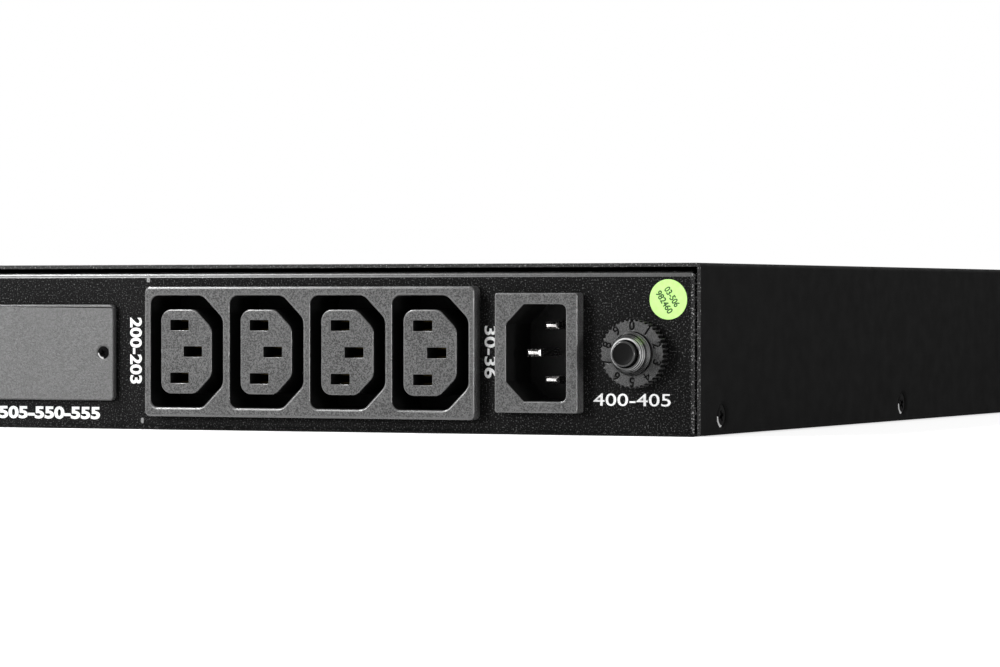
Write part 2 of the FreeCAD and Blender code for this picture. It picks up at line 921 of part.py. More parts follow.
def breaker_case():
    """Moulded case of the thermal breaker, with a bore for the button's stem."""
    centre = on_panel(breaker_from_side, breaker_from_top)
    front = panel_inner_y - bush_flange_thickness
    half_w = breaker_case_width / 2
    half_h = breaker_case_height / 2
    case = box(centre.x - half_w, centre.x + half_w, front - breaker_case_depth, front, centre.z - half_h,
               centre.z + half_h)
    long_edges = [e for e in case.Edges if abs(e.Vertexes[0].Y - e.Vertexes[1].Y) > overshoot]
    case = case.makeChamfer(breaker_case_edge, long_edges)
    bore_end = panel_y - button_inner - breaker_bore_spare
    bore_r = button_r + button_bore_gap
    reach = front - bore_end
    profile = [(-reach, 0), (-reach, bore_r), (overshoot, bore_r), (overshoot, 0)]
    bore = faceted(profile, Vector(centre.x, front, centre.z), Vector(0, 1, 0), turning_facets)
    tabs = []
    for up in (-1, 1):
        z = centre.z + up * (half_h - breaker_tab_inset)
        rear = front - breaker_case_depth
        tabs.append(box(
            centre.x - tab_width / 2, centre.x + tab_width / 2, rear - tab_length, rear + overshoot,
            z - tab_thickness / 2, z + tab_thickness / 2))
    return joined([case] + tabs).cut(bore)


def breaker_bush():
    """Turned bush: a flange behind the panel and a neck that rounds off to its rim."""
    centre = on_panel(breaker_from_side, breaker_from_top)
    bore_r = button_r + button_bore_gap
    back = -tray_thickness - bush_flange_thickness
    shoulder = bush_straight + (bush_proud - bush_straight) * bush_shoulder_along
    shoulder_r = bush_r - (bush_r - bush_rim_r) * bush_shoulder_inward
    profile = [
        (back, 0), (back, bush_flange_r), (-tray_thickness, bush_flange_r), (-tray_thickness, bush_r),
        (bush_straight, bush_r), (shoulder, shoulder_r), (bush_proud, bush_rim_r), (bush_proud, 0),
    ]
    return bored(profile, bore_r, centre)


def breaker_nut():
    """Round nut with a fine straight knurl."""
    centre = on_panel(breaker_from_side, breaker_from_top)
    root_r = nut_r - nut_tooth_depth
    corners = []
    for tooth in range(nut_teeth):
        for share, radius in ((0.0, nut_r), (0.5, root_r)):
            angle = 2 * math.pi * (tooth + share) / nut_teeth
            corners.append((centre.x + radius * math.cos(angle), centre.z + radius * math.sin(angle)))
    knurl = prism(corners, [0] * len(corners), "XZ", panel_y, panel_y + nut_thickness)
    hole_r = bush_r + thread_clearance
    profile = [(-overshoot, 0), (-overshoot, hole_r), (nut_thickness + overshoot, hole_r),
               (nut_thickness + overshoot, 0)]
    bore = faceted(profile, centre, Vector(0, 1, 0), turning_facets)
    return knurl.cut(bore)


def reset_button():
    centre = on_panel(breaker_from_side, breaker_from_top)
    profile = [(-button_inner, 0), (-button_inner, button_r), (button_proud - button_chamfer, button_r),
               (button_proud, button_r - button_chamfer), (button_proud, 0)]
    return faceted(profile, centre, Vector(0, 1, 0), turning_facets)


def inspection_sticker():
    point = on_panel(sticker_from_side, sticker_from_top)
    profile = [(0, 0), (0, sticker_r), (sticker_thickness, sticker_r), (sticker_thickness, 0)]
    return faceted(profile, point, Vector(0, 1, 0), turning_facets)


def slot_cover():
    centre = on_panel(slot_plate_from_side, slot_plate_from_top)
    face_y = panel_y + slot_plate_thickness
    plate = rounded_plate(
        slot_plate_width, slot_plate_height, slot_plate_corner, "XZ", panel_y, face_y, (centre.x, centre.z))
    holes = []
    for from_side in slot_screw_places():
        rim = on_panel(from_side, slot_plate_from_top, slot_plate_thickness)
        holes.append(countersunk_hole(
            slot_screw_head_r, slot_screw_shank_r, slot_plate_thickness + overshoot, rim, Vector(0, 1, 0),
            thread_clearance))
    return plate.cut(holes)


def rear_panel_screws():
    """Small countersunk screws of the slot's plate and of the fan."""
    axis = Vector(0, 1, 0)
    screws = []
    for from_side in slot_screw_places():
        head = on_panel(from_side, slot_plate_from_top, slot_plate_thickness)
        screws.append(countersunk_screw(
            slot_screw_head_r, slot_screw_shank_r, slot_plate_thickness + tray_thickness, head, axis))
    for x, z in fan_hole_places():
        screws.append(countersunk_screw(
            fan_screw_head_r, fan_screw_shank_r, fan_screw_length, Vector(x, panel_y, z), axis))
    return screws


def card_guides():
    """Pair of moulded channels that lead an expansion card in from the slot."""
    centre = on_panel(slot_plate_from_side, slot_plate_from_top)
    reach = slot_plate_width / 2 - slot_plate_margin + guide_wall
    groove_half = card_thickness / 2 + moving_clearance
    rails = []
    for side in (-1, 1):
        back = centre.x + side * (reach + guide_groove)
        rail_half = groove_half + guide_wall
        x0, x1 = sorted((back, back - side * guide_reach))
        far_y = panel_inner_y - guide_length
        rail = box(x0, x1, far_y, panel_inner_y, centre.z - rail_half, centre.z + rail_half)
        g0, g1 = sorted((back - side * guide_wall, back - side * (guide_reach + overshoot)))
        groove = box(g0, g1, far_y - overshoot, panel_inner_y + overshoot, centre.z - groove_half,
                     centre.z + groove_half)
        rails.append(rail.cut(groove))
    return rails


def fan_frame():
    """Square fan housing with its duct, corner holes, and a motor plate on four struts."""
    centre = fan_centre()
    y0 = panel_inner_y - fan_depth
    frame = rounded_plate(fan_size, fan_size, fan_corner, "XZ", y0, panel_inner_y, (centre.x, centre.z))
    axis = Vector(0, 1, 0)
    reach = fan_depth + overshoot
    profile = [(-reach, 0), (-reach, fan_duct_r), (overshoot, fan_duct_r), (overshoot, 0)]
    duct = faceted(profile, centre, axis, turning_facets)
    holes = []
    for x, z in fan_hole_places():
        holes.append(plain_hole(
            fan_screw_shank_r + thread_clearance, tray_thickness + fan_depth + overshoot,
            Vector(x, panel_y, z), Vector(0, 1, 0)))
    plate_y = panel_inner_y - fan_plate_thickness
    profile = [(-fan_plate_thickness, 0), (-fan_plate_thickness, hub_r), (0, hub_r), (0, 0)]
    plate = faceted(profile, centre, axis, turning_facets)
    struts = []
    for i in range(4):
        strut = box(hub_r - fan_strut_width / 2, fan_duct_r + fan_strut_width / 2, plate_y, panel_inner_y,
                    -fan_strut_width / 2, fan_strut_width / 2)
        strut.rotate(Vector(0, 0, 0), Vector(0, 1, 0), 45 + 90 * i)
        strut.translate(Vector(centre.x, 0, centre.z))
        struts.append(strut)
    return joined([frame.cut([duct] + holes), plate] + struts)


def fan_rotor():
    """Hub with flat pitched blades."""
    centre = fan_centre()
    rear_y = panel_inner_y - fan_plate_thickness - moving_clearance
    front_face = rear_y - rotor_length
    profile = [(0, 0), (0, hub_r), (rotor_length, hub_r), (rotor_length, 0)]
    hub = faceted(profile, Vector(centre.x, front_face, centre.z), Vector(0, 1, 0), turning_facets)
    middle_y = (rear_y + front_face) / 2
    half_chord = blade_chord / 2
    tip_r = math.sqrt((fan_duct_r - blade_tip_gap) ** 2 - half_chord ** 2)
    blades = []
    for i in range(blade_count):
        blade = box(hub_r - blade_thickness, tip_r, -blade_thickness / 2, blade_thickness / 2, -half_chord,
                    half_chord)
        blade.rotate(Vector(0, 0, 0), Vector(1, 0, 0), blade_pitch)
        blade.rotate(Vector(0, 0, 0), Vector(0, 1, 0), 360.0 * i / blade_count)
        blade.translate(Vector(centre.x, middle_y, centre.z))
        blades.append(blade)
    return joined([hub] + blades)


def hook_level():
    """Height of a bezel hook above or below the middle, just inside the tray's top flange."""
    return tray_top - tray_thickness - hook_thickness / 2 - hook_catch - hook_clearance - middle_z


def display_board_span():
    low = window_from_middle - window_width / 2 - display_board_margin
    high = key_places()[-1] + key_width / 2 + display_board_margin
    return low, high


def display_board_half_height():
    return window_height / 2 + boss_width / 2


def boss_places():
    low, high = display_board_span()
    half = display_board_half_height() - boss_inset
    return [(x, middle_z + dz) for x in (low + boss_inset, high - boss_inset) for dz in (-half, half)]


def display_board_y():
    return bezel_y + bezel_wall + lcd_thickness


def front_bezel():
    """Hollow moulding with slanted louvres, a window seat, two key holes, bosses and hooks."""
    z0 = wall_z
    z1 = wall_z + bezel_height
    shell = box(-side_x, side_x, bezel_y, front_y, z0, z1)
    front_edges = [e for e in shell.Edges if min(v.Y for v in e.Vertexes) < bezel_y + 1e-6]
    shell = shell.makeChamfer(bezel_chamfer, front_edges)
    hollow = box(-side_x + bezel_wall, side_x - bezel_wall, bezel_y + bezel_wall, front_y + overshoot,
                 z0 + bezel_wall, z1 - bezel_wall)
    shell = shell.cut(hollow)
    board_y = display_board_y()
    pieces = []
    half_boss = boss_width / 2
    half_stake = stake_width / 2
    stake_end = board_y + board_thickness + stake_proud
    for x, z in boss_places():
        pieces.append(box(
            x - half_boss, x + half_boss, bezel_y + bezel_wall / 2, board_y, z - half_boss, z + half_boss))
        pieces.append(box(
            x - half_stake, x + half_stake, board_y, stake_end, z - half_stake, z + half_stake))
    for x in hook_places():
        for up in (-1, 1):
            z = middle_z + up * hook_level()
            inner = z - up * hook_thickness / 2
            outer = z + up * hook_thickness / 2
            root = middle_z + up * (bezel_height / 2 - bezel_wall / 2)
            tip = front_inner_y + hook_reach
            catch_y = front_inner_y + seat_clearance
            root_y = front_y - hook_root
            corners = [(root_y, root), (root_y, inner), (catch_y, inner), (catch_y, inner - up * hook_catch),
                       (tip, inner), (tip, outer), (front_y - hook_shoulder, outer),
                       (front_y - hook_shoulder, root)]
            pieces.append(prism(corners, [0] * len(corners), "YZ", x - hook_width / 2, x + hook_width / 2))
    shell = joined([shell] + pieces)
    cutters = []
    for low, high in vent_bays():
        for row in range(vent_rows):
            z = middle_z + (row - (vent_rows - 1) / 2) * vent_pitch
            y_out = bezel_y - overshoot
            y_in = bezel_y + bezel_wall + overshoot
            half = vent_gap / 2
            lift = vent_slant
            corners = [
                (y_out, z - half - lift / 2), (y_in, z - half + lift / 2), (y_in, z + half + lift / 2),
                (y_out, z + half - lift / 2),
            ]
            cutters.append(prism(corners, [0] * 4, "YZ", low, high))
    window_centre = (window_from_middle, middle_z)
    cutters.append(rounded_plate(
        window_width + 2 * seat_clearance, window_height + 2 * seat_clearance, window_corner, "XZ",
        bezel_y - overshoot, bezel_y + window_thickness + seat_clearance, window_centre))
    through = (bezel_y - overshoot, bezel_y + bezel_wall + overshoot)
    half_w = window_width / 2 - window_ledge
    half_h = window_height / 2 - window_ledge
    cutters.append(box(
        window_from_middle - half_w, window_from_middle + half_w, *through, middle_z - half_h,
        middle_z + half_h))
    for x in key_places():
        cutters.append(key_prism(x, moving_clearance, *through))
    return shell.cut(cutters)


def display_window():
    return rounded_plate(
        window_width, window_height, window_corner, "XZ", bezel_y + seat_clearance,
        bezel_y + seat_clearance + window_thickness, (window_from_middle, middle_z))


def lcd_box(margin, start, length):
    """Box behind the window, smaller than it by a margin all round."""
    half_w = window_width / 2 - margin
    half_h = window_height / 2 - margin
    x0 = window_from_middle - half_w
    return box(x0, x0 + 2 * half_w, start, start + length, middle_z - half_h, middle_z + half_h)


def lcd_module():
    """Display module clamped between the window's ledge and its board."""
    frame = lcd_box(lcd_margin, bezel_y + bezel_wall, lcd_thickness)
    glass = lcd_box(lcd_glass_margin, bezel_y + bezel_wall - overshoot, overshoot + lcd_glass_sink)
    return frame.cut(glass)


def display_board():
    low, high = display_board_span()
    half = display_board_half_height()
    y0 = display_board_y()
    board = box(low, high, y0, y0 + board_thickness, middle_z - half, middle_z + half)
    half_hole = stake_width / 2 + seat_clearance
    holes = [
        box(x - half_hole, x + half_hole, y0 - overshoot, y0 + board_thickness + overshoot, z - half_hole,
            z + half_hole)
        for x, z in boss_places()
    ]
    return board.cut(holes)


def key_switches():
    """Push switches on the display board, one behind each key."""
    y1 = display_board_y()
    half = switch_size / 2
    tip = half / 2
    face = y1 - switch_height * (1 - plunger_share)
    switches = []
    for x in key_places():
        body = box(x - half, x + half, face, y1, middle_z - half, middle_z + half)
        plunger = box(x - tip, x + tip, y1 - switch_height, face, middle_z - tip, middle_z + tip)
        switches.append(joined([body, plunger]))
    return switches


def key_prism(x, grow, start, end):
    """Oblong with cut corners, for a key's cap and for its hole."""
    half_w = key_width / 2 + grow
    half_h = key_height / 2 + grow
    cut_w = half_w - key_corner
    cut_h = half_h - key_corner
    corners = [
        (half_w, -cut_h), (half_w, cut_h), (cut_w, half_h), (-cut_w, half_h),
        (-half_w, cut_h), (-half_w, -cut_h), (-cut_w, -half_h), (cut_w, -half_h),
    ]
    return prism([(x + a, middle_z + b) for a, b in corners], [0] * 8, "XZ", start, end)


def key(x):
    """Oblong key cap held behind the bezel by its flange."""
    face = bezel_y + key_sink
    stop = display_board_y() - switch_height - moving_clearance - key_travel
    flange_front = bezel_y + bezel_wall + moving_clearance
    cap = key_prism(x, 0.0, face, stop)
    half_w = key_width / 2 + key_flange
    half_h = key_height / 2 + key_flange
    flange_back = flange_front + key_flange_thickness
    flange = box(x - half_w, x + half_w, flange_front, flange_back, middle_z - half_h, middle_z + half_h)
    return joined([cap, flange])


def battery_places():
    """Low X and low Y of each battery, row by row from the front, centred across the tray."""
    places = []
    for row in range(2):
        y = front_inner_y + battery_front_margin + row * (battery_depth + battery_row_gap)
        for column in range(2):
            x = battery_gap / 2 - column * (battery_length + battery_gap)
            places.append((x, y))
    return places


def battery(x, y):
    """Sealed battery laid on its broad side, with a lid seam near its terminal end."""
    z0 = tray_thickness
    z1 = z0 + battery_height
    case = box(x, x + battery_length, y, y + battery_depth, z0, z1)
    groove = battery_lid_groove
    seam_y = y + battery_depth - battery_lid
    seam = box(x - overshoot, x + battery_length + overshoot, seam_y - groove, seam_y, z0 - overshoot,
               z1 + overshoot)
    keep = box(x + groove, x + battery_length - groove, seam_y - groove, seam_y, z0 + groove, z1 - groove)
    return case.cut(seam.cut(keep))


def battery_terminals():
    tabs = []
    for x, y in battery_places():
        for tab_x in (x + battery_terminal_inset, x + battery_length - battery_terminal_inset):
            z = tray_thickness + battery_height / 2
            y0 = y + battery_depth
            tabs.append(box(
                tab_x - battery_tab_width / 2, tab_x + battery_tab_width / 2, y0, y0 + battery_tab_length,
                z - tab_thickness / 2, z + tab_thickness / 2))
    return tabs


def strap_reach():
    xs = [x for x, _ in battery_places()]
    low = min(xs) - battery_gap - strap_thickness
    high = max(xs) + battery_length + battery_gap + strap_thickness
    return low, high


def strap_middles():
    return [y + battery_depth / 2 for _, y in battery_places()[::2]]


def battery_straps():
    """Two folded straps over the battery rows with feet on the tray."""
    low, high = strap_reach()
    floor = tray_thickness
    top = floor + battery_height + strap_thickness
    path = [
        (high + strap_foot, floor + strap_thickness), (high, floor + strap_thickness), (high, top),
        (low, top), (low, floor + strap_thickness), (low - strap_foot, floor + strap_thickness),
    ]
    straps = []
    for y in strap_middles():
        strap = folded_sheet(
            path, strap_thickness, 0.0, "XZ", y - strap_width / 2, y + strap_width / 2)
        holes = [
            prism(hexagon(strap_screw_shank + thread_clearance, place), [0] * 6, "XY", floor - overshoot,
                  floor + strap_thickness + overshoot)
            for place in strap_screw_places()
        ]
        straps.append(strap.cut(holes))
    return straps


def strap_screw_places():
    low, high = strap_reach()
    return [(x, y) for y in strap_middles() for x in (low - strap_foot / 2, high + strap_foot / 2)]


def strap_screws():
    """Hexagon-headed screws through the straps' feet and the tray."""
    seat = tray_thickness + strap_thickness
    screws = []
    for place in strap_screw_places():
        head = prism(hexagon(strap_screw_head, place), [0] * 6, "XY", seat, seat + strap_screw_head_height)
        shank = prism(hexagon(strap_screw_shank, place), [0] * 6, "XY", tray_thickness / 2, seat)
        screws.append(joined([head, shank]))
    return screws


def transformer_centre():
    """Middle of the core, behind the battery rows with room for their terminals."""
    _, last_y = battery_places()[-1]
    foot_y = last_y + battery_depth + transformer_gap
    z = tray_thickness + transformer_lift + core_stack / 2
    return Vector(transformer_from_side - side_x, foot_y + bracket_foot + core_length / 2, z)


def core_window_half():
    return core_length / 2 - core_yoke


def transformer_core():
    """Laminated shell-type core with two windows beside its middle leg."""
    centre = transformer_centre()
    z0 = centre.z - core_stack / 2
    z1 = centre.z + core_stack / 2
    core = box(centre.x - core_span / 2, centre.x + core_span / 2, centre.y - core_length / 2,
               centre.y + core_length / 2, z0, z1)
    cutters = []
    for side in (-1, 1):
        x0, x1 = sorted((centre.x + side * core_leg / 2, centre.x + side * (core_span / 2 - core_yoke)))
        y0 = centre.y - core_window_half()
        cutters.append(box(x0, x1, y0, y0 + 2 * core_window_half(), z0 - overshoot, z1 + overshoot))
    return core.cut(cutters)


def transformer_coil():
    """Wound coil on the middle leg, rounded where the wire turns."""
    centre = transformer_centre()
    width = core_span - 2 * core_yoke - 2 * coil_gap
    length = 2 * (core_window_half() - coil_gap)
    start = centre.y - length / 2
    coil = rounded_plate(width, coil_height, coil_round, "XZ", start, start + length, (centre.x, centre.z))
    leg = box(centre.x - core_leg / 2, centre.x + core_leg / 2, centre.y - length, centre.y + length,
              centre.z - core_stack / 2, centre.z + core_stack / 2)
    return coil.cut(leg)


def transformer_brackets():
    """Two folded feet that carry the core's front and rear yokes clear of the tray."""
    centre = transformer_centre()
    floor = tray_thickness
    shelf = floor + transformer_lift
    brackets = []
    for side in (-1, 1):
        edge = centre.y + side * (core_length / 2)
        inner = centre.y + side * (core_length / 2 - core_yoke + bracket_setback)
        path = [(inner, shelf), (edge, shelf), (edge, floor + bracket_thickness),
                (edge + side * bracket_foot, floor + bracket_thickness)]
        path = path if side < 0 else path[::-1]
        start = centre.x - core_span / 2
        brackets.append(folded_sheet(path, bracket_thickness, 0.0, "YZ", start, start + core_span))
    return brackets


def main_board_edges():
    """Low and high X, low and high Y of the board: beside the transformer, behind the batteries."""
    _, last_y = battery_places()[-1]
    low_x = transformer_centre().x + core_span / 2 + main_board_gap
    high_x = tray_x - tray_thickness - main_board_side_gap
    low_y = last_y + battery_depth + main_board_from_batteries
    return low_x, high_x, low_y, panel_y - main_board_from_panel


def support_places():
    places = []
    x0, x1, y0, y1 = main_board_edges()
    span = x1 - x0 - 2 * support_inset
    for column in range(support_columns):
        x = x0 + support_inset + span * column / (support_columns - 1)
        for y in (y0 + support_inset, y1 - support_inset):
            places.append((x, y))
    return places


def main_board():
    z0 = board_top - board_thickness
    board = box(*main_board_edges(), z0, board_top)
    reach = support_peg / 2 + seat_clearance
    holes = [
        box(x - reach, x + reach, y - reach, y + reach, z0 - overshoot, board_top + overshoot)
        for x, y in support_places()
    ]
    return board.cut(holes)


def board_supports():
    """Moulded posts that snap into the board with a barbed peg."""
    posts = []
    half = support_width / 2
    peg = support_peg / 2
    barb = peg + support_barb
    seat = board_top - board_thickness
    catch = board_top + seat_clearance
    for x, y in support_places():
        post = box(x - half, x + half, y - half, y + half, tray_thickness, seat)
        corners = [(x - peg, seat), (x + peg, seat), (x + peg, catch), (x + barb, catch),
                   (x + peg / 2, catch + support_tip), (x - peg / 2, catch + support_tip), (x - barb, catch),
                   (x - peg, catch)]
        arrow = prism(corners, [0] * len(corners), "XZ", y - peg, y + peg)
        posts.append(joined([post, arrow]))
    return posts


def sink_place():
    _, _, front_edge, _ = main_board_edges()
    return fan_centre().x, front_edge + sink_from_board_front


def heat_sink():
    """Extruded sink whose fins stand in the fan's air path."""
    x, y = sink_place()
    base = box(x - sink_width / 2, x + sink_width / 2, y, y + sink_length, board_top, board_top + sink_base)
    step = (sink_width - sink_fin_thickness) / (sink_fins - 1)
    fins = []
    for i in range(sink_fins):
        x0 = x - sink_width / 2 + i * step
        fins.append(box(x0, x0 + sink_fin_thickness, y, y + sink_length, board_top, board_top + sink_height))
    return joined([base] + fins)


def power_transistors():
    """Row of flat power transistors standing against the sink's outer fin."""
    x, y = sink_place()
    face_x = x - sink_width / 2
    row = transistor_pitch * (transistor_count - 1)
    first_y = y + (sink_length - row) / 2
    parts = []
    for i in range(transistor_count):
        y_mid = first_y + i * transistor_pitch
        half = transistor_width / 2
        foot = board_top + transistor_leg
        top = foot + transistor_height
        y0 = y_mid - half
        y1 = y_mid + half
        body = box(face_x - transistor_thickness, face_x - transistor_tab_thickness / 2, y0, y1, foot, top)
        tab = box(face_x - transistor_tab_thickness, face_x, y0, y1, foot, top + transistor_tab)
        legs = []
        for step in (-1, 0, 1):
            leg_y = y_mid + step * transistor_leg_pitch
            leg_x = face_x - transistor_thickness / 2
            half_t = transistor_leg_thickness / 2
            half_w = transistor_leg_width / 2
            legs.append(box(
                leg_x - half_t, leg_x + half_t, leg_y - half_w, leg_y + half_w, board_top, foot + overshoot))
        parts.append(joined([body, tab] + legs))
    return parts


def bulk_capacitors():
    """Row of can capacitors beside the power transistors."""
    sink_x, _ = sink_place()
    _, _, front_edge, _ = main_board_edges()
    x = sink_x - sink_width / 2 - capacitor_from_sink
    first_y = front_edge + support_inset + support_width + capacitor_r
    profile = [(capacitor_height, 0), (capacitor_height, capacitor_r), (0, capacitor_r), (0, 0)]
    return [
        faceted(profile, Vector(x, first_y + i * capacitor_pitch, board_top), Vector(0, 0, 1))
        for i in range(capacitor_count)
    ]


def relays():
    """Row of sealed relays along the board's edge beside the transformer."""
    side_edge, _, front_edge, rear_edge = main_board_edges()
    x0 = side_edge + 2 * support_inset
    row = relay_pitch * (relay_count - 1)
    first_y = (front_edge + rear_edge - row - relay_width) / 2
    cases = []
    for i in range(relay_count):
        y0 = first_y + i * relay_pitch
        case = box(x0, x0 + relay_length, y0, y0 + relay_width, board_top, board_top + relay_height)
        top = [e for e in case.Edges if min(v.Z for v in e.Vertexes) > board_top + overshoot]
        cases.append(case.makeChamfer(relay_edge, top))
    return cases


def line_choke():
    """Mains filter choke: a closed core with its winding on the middle limb."""
    side_edge, _, front_edge, _ = main_board_edges()
    x = side_edge + choke_from_side_edge
    y = front_edge + choke_from_front_edge + choke_depth / 2
    half_w = choke_width / 2
    half_d = choke_depth / 2
    core = box(x - half_w, x + half_w, y - half_d, y + half_d, board_top, board_top + choke_height)
    half_limb = choke_limb / 2
    windows = []
    for side in (-1, 1):
        x0, x1 = sorted((x + side * half_limb, x + side * (half_w - choke_limb)))
        windows.append(box(x0, x1, y - half_d + choke_limb, y + half_d - choke_limb, board_top - overshoot,
                           board_top + choke_height + overshoot))
    coil_half_w = half_w - choke_limb - coil_gap
    coil_half_d = half_d - choke_limb - coil_gap
    coil = box(x - coil_half_w, x + coil_half_w, y - coil_half_d, y + coil_half_d, board_top,
               board_top + choke_coil_height)
    return joined([core.cut(windows), coil])


def export(name, shape):
    shape = Part.makeCompound(shape) if isinstance(shape, list) else shape
    shape.exportStep(os.path.join("parts", name + ".step"))


def main():
    os.makedirs("parts", exist_ok=True)
    right_ear = rack_ear_right()
    pieces = {
        "chassis_tray": chassis_tray(),
        "top_cover": top_cover(),
        "cover_screws": cover_screws(),
        "rack_ear_right": right_ear,
        "rack_ear_left": mirrored(right_ear),
        "ear_screws": ear_screws(),
        "outlet_block": outlet_block(),
        "outlet_contacts": outlet_contacts(),
        "inlet_body": inlet_body(),
        "inlet_pins": inlet_pins(),
        "breaker_case": breaker_case(),
        "breaker_bush": breaker_bush(),
        "breaker_nut": breaker_nut(),
        "reset_button": reset_button(),
        "inspection_sticker": inspection_sticker(),
        "slot_cover": slot_cover(),
        "rear_panel_screws": rear_panel_screws(),
        "card_guides": card_guides(),
        "fan_frame": fan_frame(),
        "fan_rotor": fan_rotor(),
        "front_bezel": front_bezel(),
        "display_window": display_window(),
        "lcd_module": lcd_module(),
        "display_board": display_board(),
        "key_switches": key_switches(),
        "power_key": key(key_places()[0]),
        "select_key": key(key_places()[1]),
        "battery_terminals": battery_terminals(),
        "battery_straps": battery_straps(),
        "strap_screws": strap_screws(),
        "transformer_core": transformer_core(),
        "transformer_coil": transformer_coil(),
        "transformer_brackets": transformer_brackets(),
        "main_board": main_board(),
        "board_supports": board_supports(),
        "heat_sink": heat_sink(),
        "power_transistors": power_transistors(),
        "bulk_capacitors": bulk_capacitors(),
        "relays": relays(),
        "line_choke": line_choke(),
    }
    for number, (x, y) in enumerate(battery_places(), start=1):
        pieces[f"battery_{number}"] = battery(x, y)
    for name, shape in pieces.items():
        export(name, shape)


main()
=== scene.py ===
import json
import math

import bmesh
import bpy
from mathutils import Matrix, Vector


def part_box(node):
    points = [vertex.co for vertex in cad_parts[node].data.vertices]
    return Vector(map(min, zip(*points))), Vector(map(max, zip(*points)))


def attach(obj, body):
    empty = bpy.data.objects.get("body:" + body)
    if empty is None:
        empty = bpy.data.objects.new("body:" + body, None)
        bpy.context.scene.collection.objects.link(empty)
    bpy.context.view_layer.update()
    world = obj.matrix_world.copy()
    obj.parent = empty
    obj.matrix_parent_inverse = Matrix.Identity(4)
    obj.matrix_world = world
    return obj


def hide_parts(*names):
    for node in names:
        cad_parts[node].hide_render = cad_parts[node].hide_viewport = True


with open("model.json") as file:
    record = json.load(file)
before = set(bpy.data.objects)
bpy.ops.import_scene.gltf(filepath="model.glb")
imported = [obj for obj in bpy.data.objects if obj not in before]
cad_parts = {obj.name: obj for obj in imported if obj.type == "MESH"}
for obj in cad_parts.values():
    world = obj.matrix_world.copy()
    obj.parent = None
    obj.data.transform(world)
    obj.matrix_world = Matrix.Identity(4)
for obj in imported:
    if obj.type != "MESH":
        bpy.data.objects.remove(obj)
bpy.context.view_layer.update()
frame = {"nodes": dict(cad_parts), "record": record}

# Lengths are in metres, written in millimetres times mm
mm = 0.001
nodes = frame["nodes"]
body_low, body_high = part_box("top_cover")
tray_low, tray_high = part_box("chassis_tray")
panel_y = tray_high.y
side_x = body_high.x
top_z = body_high.z
X_AXIS = Vector((1, 0, 0))
Y_AXIS = Vector((0, 1, 0))
Z_AXIS = Vector((0, 0, 1))

# Camera: degrees from the Y axis towards the X axis, degrees down, lens and sensor in millimetres
camera_place = Vector((-608.5, 1189.0, 34.2)) * mm
camera_turn = 155.88
camera_pitch = 0.432
camera_lens = 152.4
sensor_width = 36.0
view_limit = 60.0

# Connectors: spacings of the contacts and of the outlets
blade_spacing = 14.0 * mm
earth_offset = 4.0 * mm
gang_count = 4
gang_pitch = 23.75 * mm

# Meshes, with angles in degrees
rim_steps = 4
smallest_radius = 0.02 * mm
axis_radius = 0.01 * mm
weld_distance = 0.002 * mm
sharp_angle = 32
flat_angle = 1.0
bevel_angle = 40

# Places on the rear panel, in millimetres from its side and from the top
strip_at = (109.3, 23.05)
inlet_at = (43.7, 22.9)
breaker_at = (17.4, 23.0)
slot_plate_at = (194.0, 23.45)
plate_screw_offset = 22.9
plate_screw_proud = 1.9


def on_panel(from_side, from_top, proud=0.0):
    """Point on the rear panel, counted in millimetres from the corner nearest the breaker."""
    return Vector((from_side * mm - side_x, panel_y + proud * mm, top_z - from_top * mm))


def middle(node):
    low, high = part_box(node)
    return (low + high) / 2


# Outlines and mesh helpers

def oblong(width, height, radius):
    a, b = width / 2, height / 2
    return [(-a, -b), (a, -b), (a, b), (-a, b)], [radius] * 4


def connector(width, height, chamfer, chamfer_radius, radius, side):
    """Oblong with its two chamfered corners on the side given as +1 or -1."""
    edge = side * width / 2
    low = edge - side * chamfer
    half = height / 2
    corners = [
        (edge, half - chamfer), (low, half), (-edge, half),
        (-edge, -half), (low, -half), (edge, chamfer - half),
    ]
    radii = [chamfer_radius, chamfer_radius, radius, radius, chamfer_radius, chamfer_radius]
    if side < 0:
        return corners[::-1], radii[::-1]
    return corners, radii


def outline(shape, grow=0.0, at=(0.0, 0.0), steps=6):
    """Points of a convex outline, grown outwards, each corner rounded in a few steps."""
    corners, radii = shape
    points = []
    for i, corner in enumerate(corners):
        into = (Vector(corner) - Vector(corners[i - 1])).normalized()
        away = (Vector(corners[(i + 1) % len(corners)]) - Vector(corner)).normalized()
        normal_in = Vector((into.y, -into.x))
        normal_out = Vector((away.y, -away.x))
        moved = Vector(corner) + (normal_in + normal_out) * (grow / (1 + normal_in.dot(normal_out)))
        radius = max(radii[i] + grow, smallest_radius)
        turn = normal_in.angle(normal_out)
        centre = moved - into * radius * math.tan(turn / 2) - normal_in * radius
        start = math.atan2(normal_in.y, normal_in.x)
        for k in range(steps + 1):
            angle = start + turn * k / steps
            x = at[0] + centre.x + radius * math.cos(angle)
            y = at[1] + centre.y + radius * math.sin(angle)
            points.append((x, y))
    return points


def circle(radius, count):
    turns = [2 * math.pi * k / count for k in range(count)]
    return [(radius * math.cos(turn), radius * math.sin(turn)) for turn in turns]


def cross(length, width):
    """Points of a cross-shaped recess."""
    a, b = length / 2, width / 2
    return [
        (a, -b), (a, b), (b, b), (b, a), (-b, a), (-b, b),
        (-a, b), (-a, -b), (-b, -b), (-b, -a), (b, -a), (b, -b),
    ]


def ring(bm, points, level):
    return [bm.verts.new((a, b, level)) for a, b in points]


def bridge(bm, rings):
    for low, high in zip(rings, rings[1:]):
        for i in range(len(low)):
            bm.faces.new((low[i - 1], low[i], high[i], high[i - 1]))


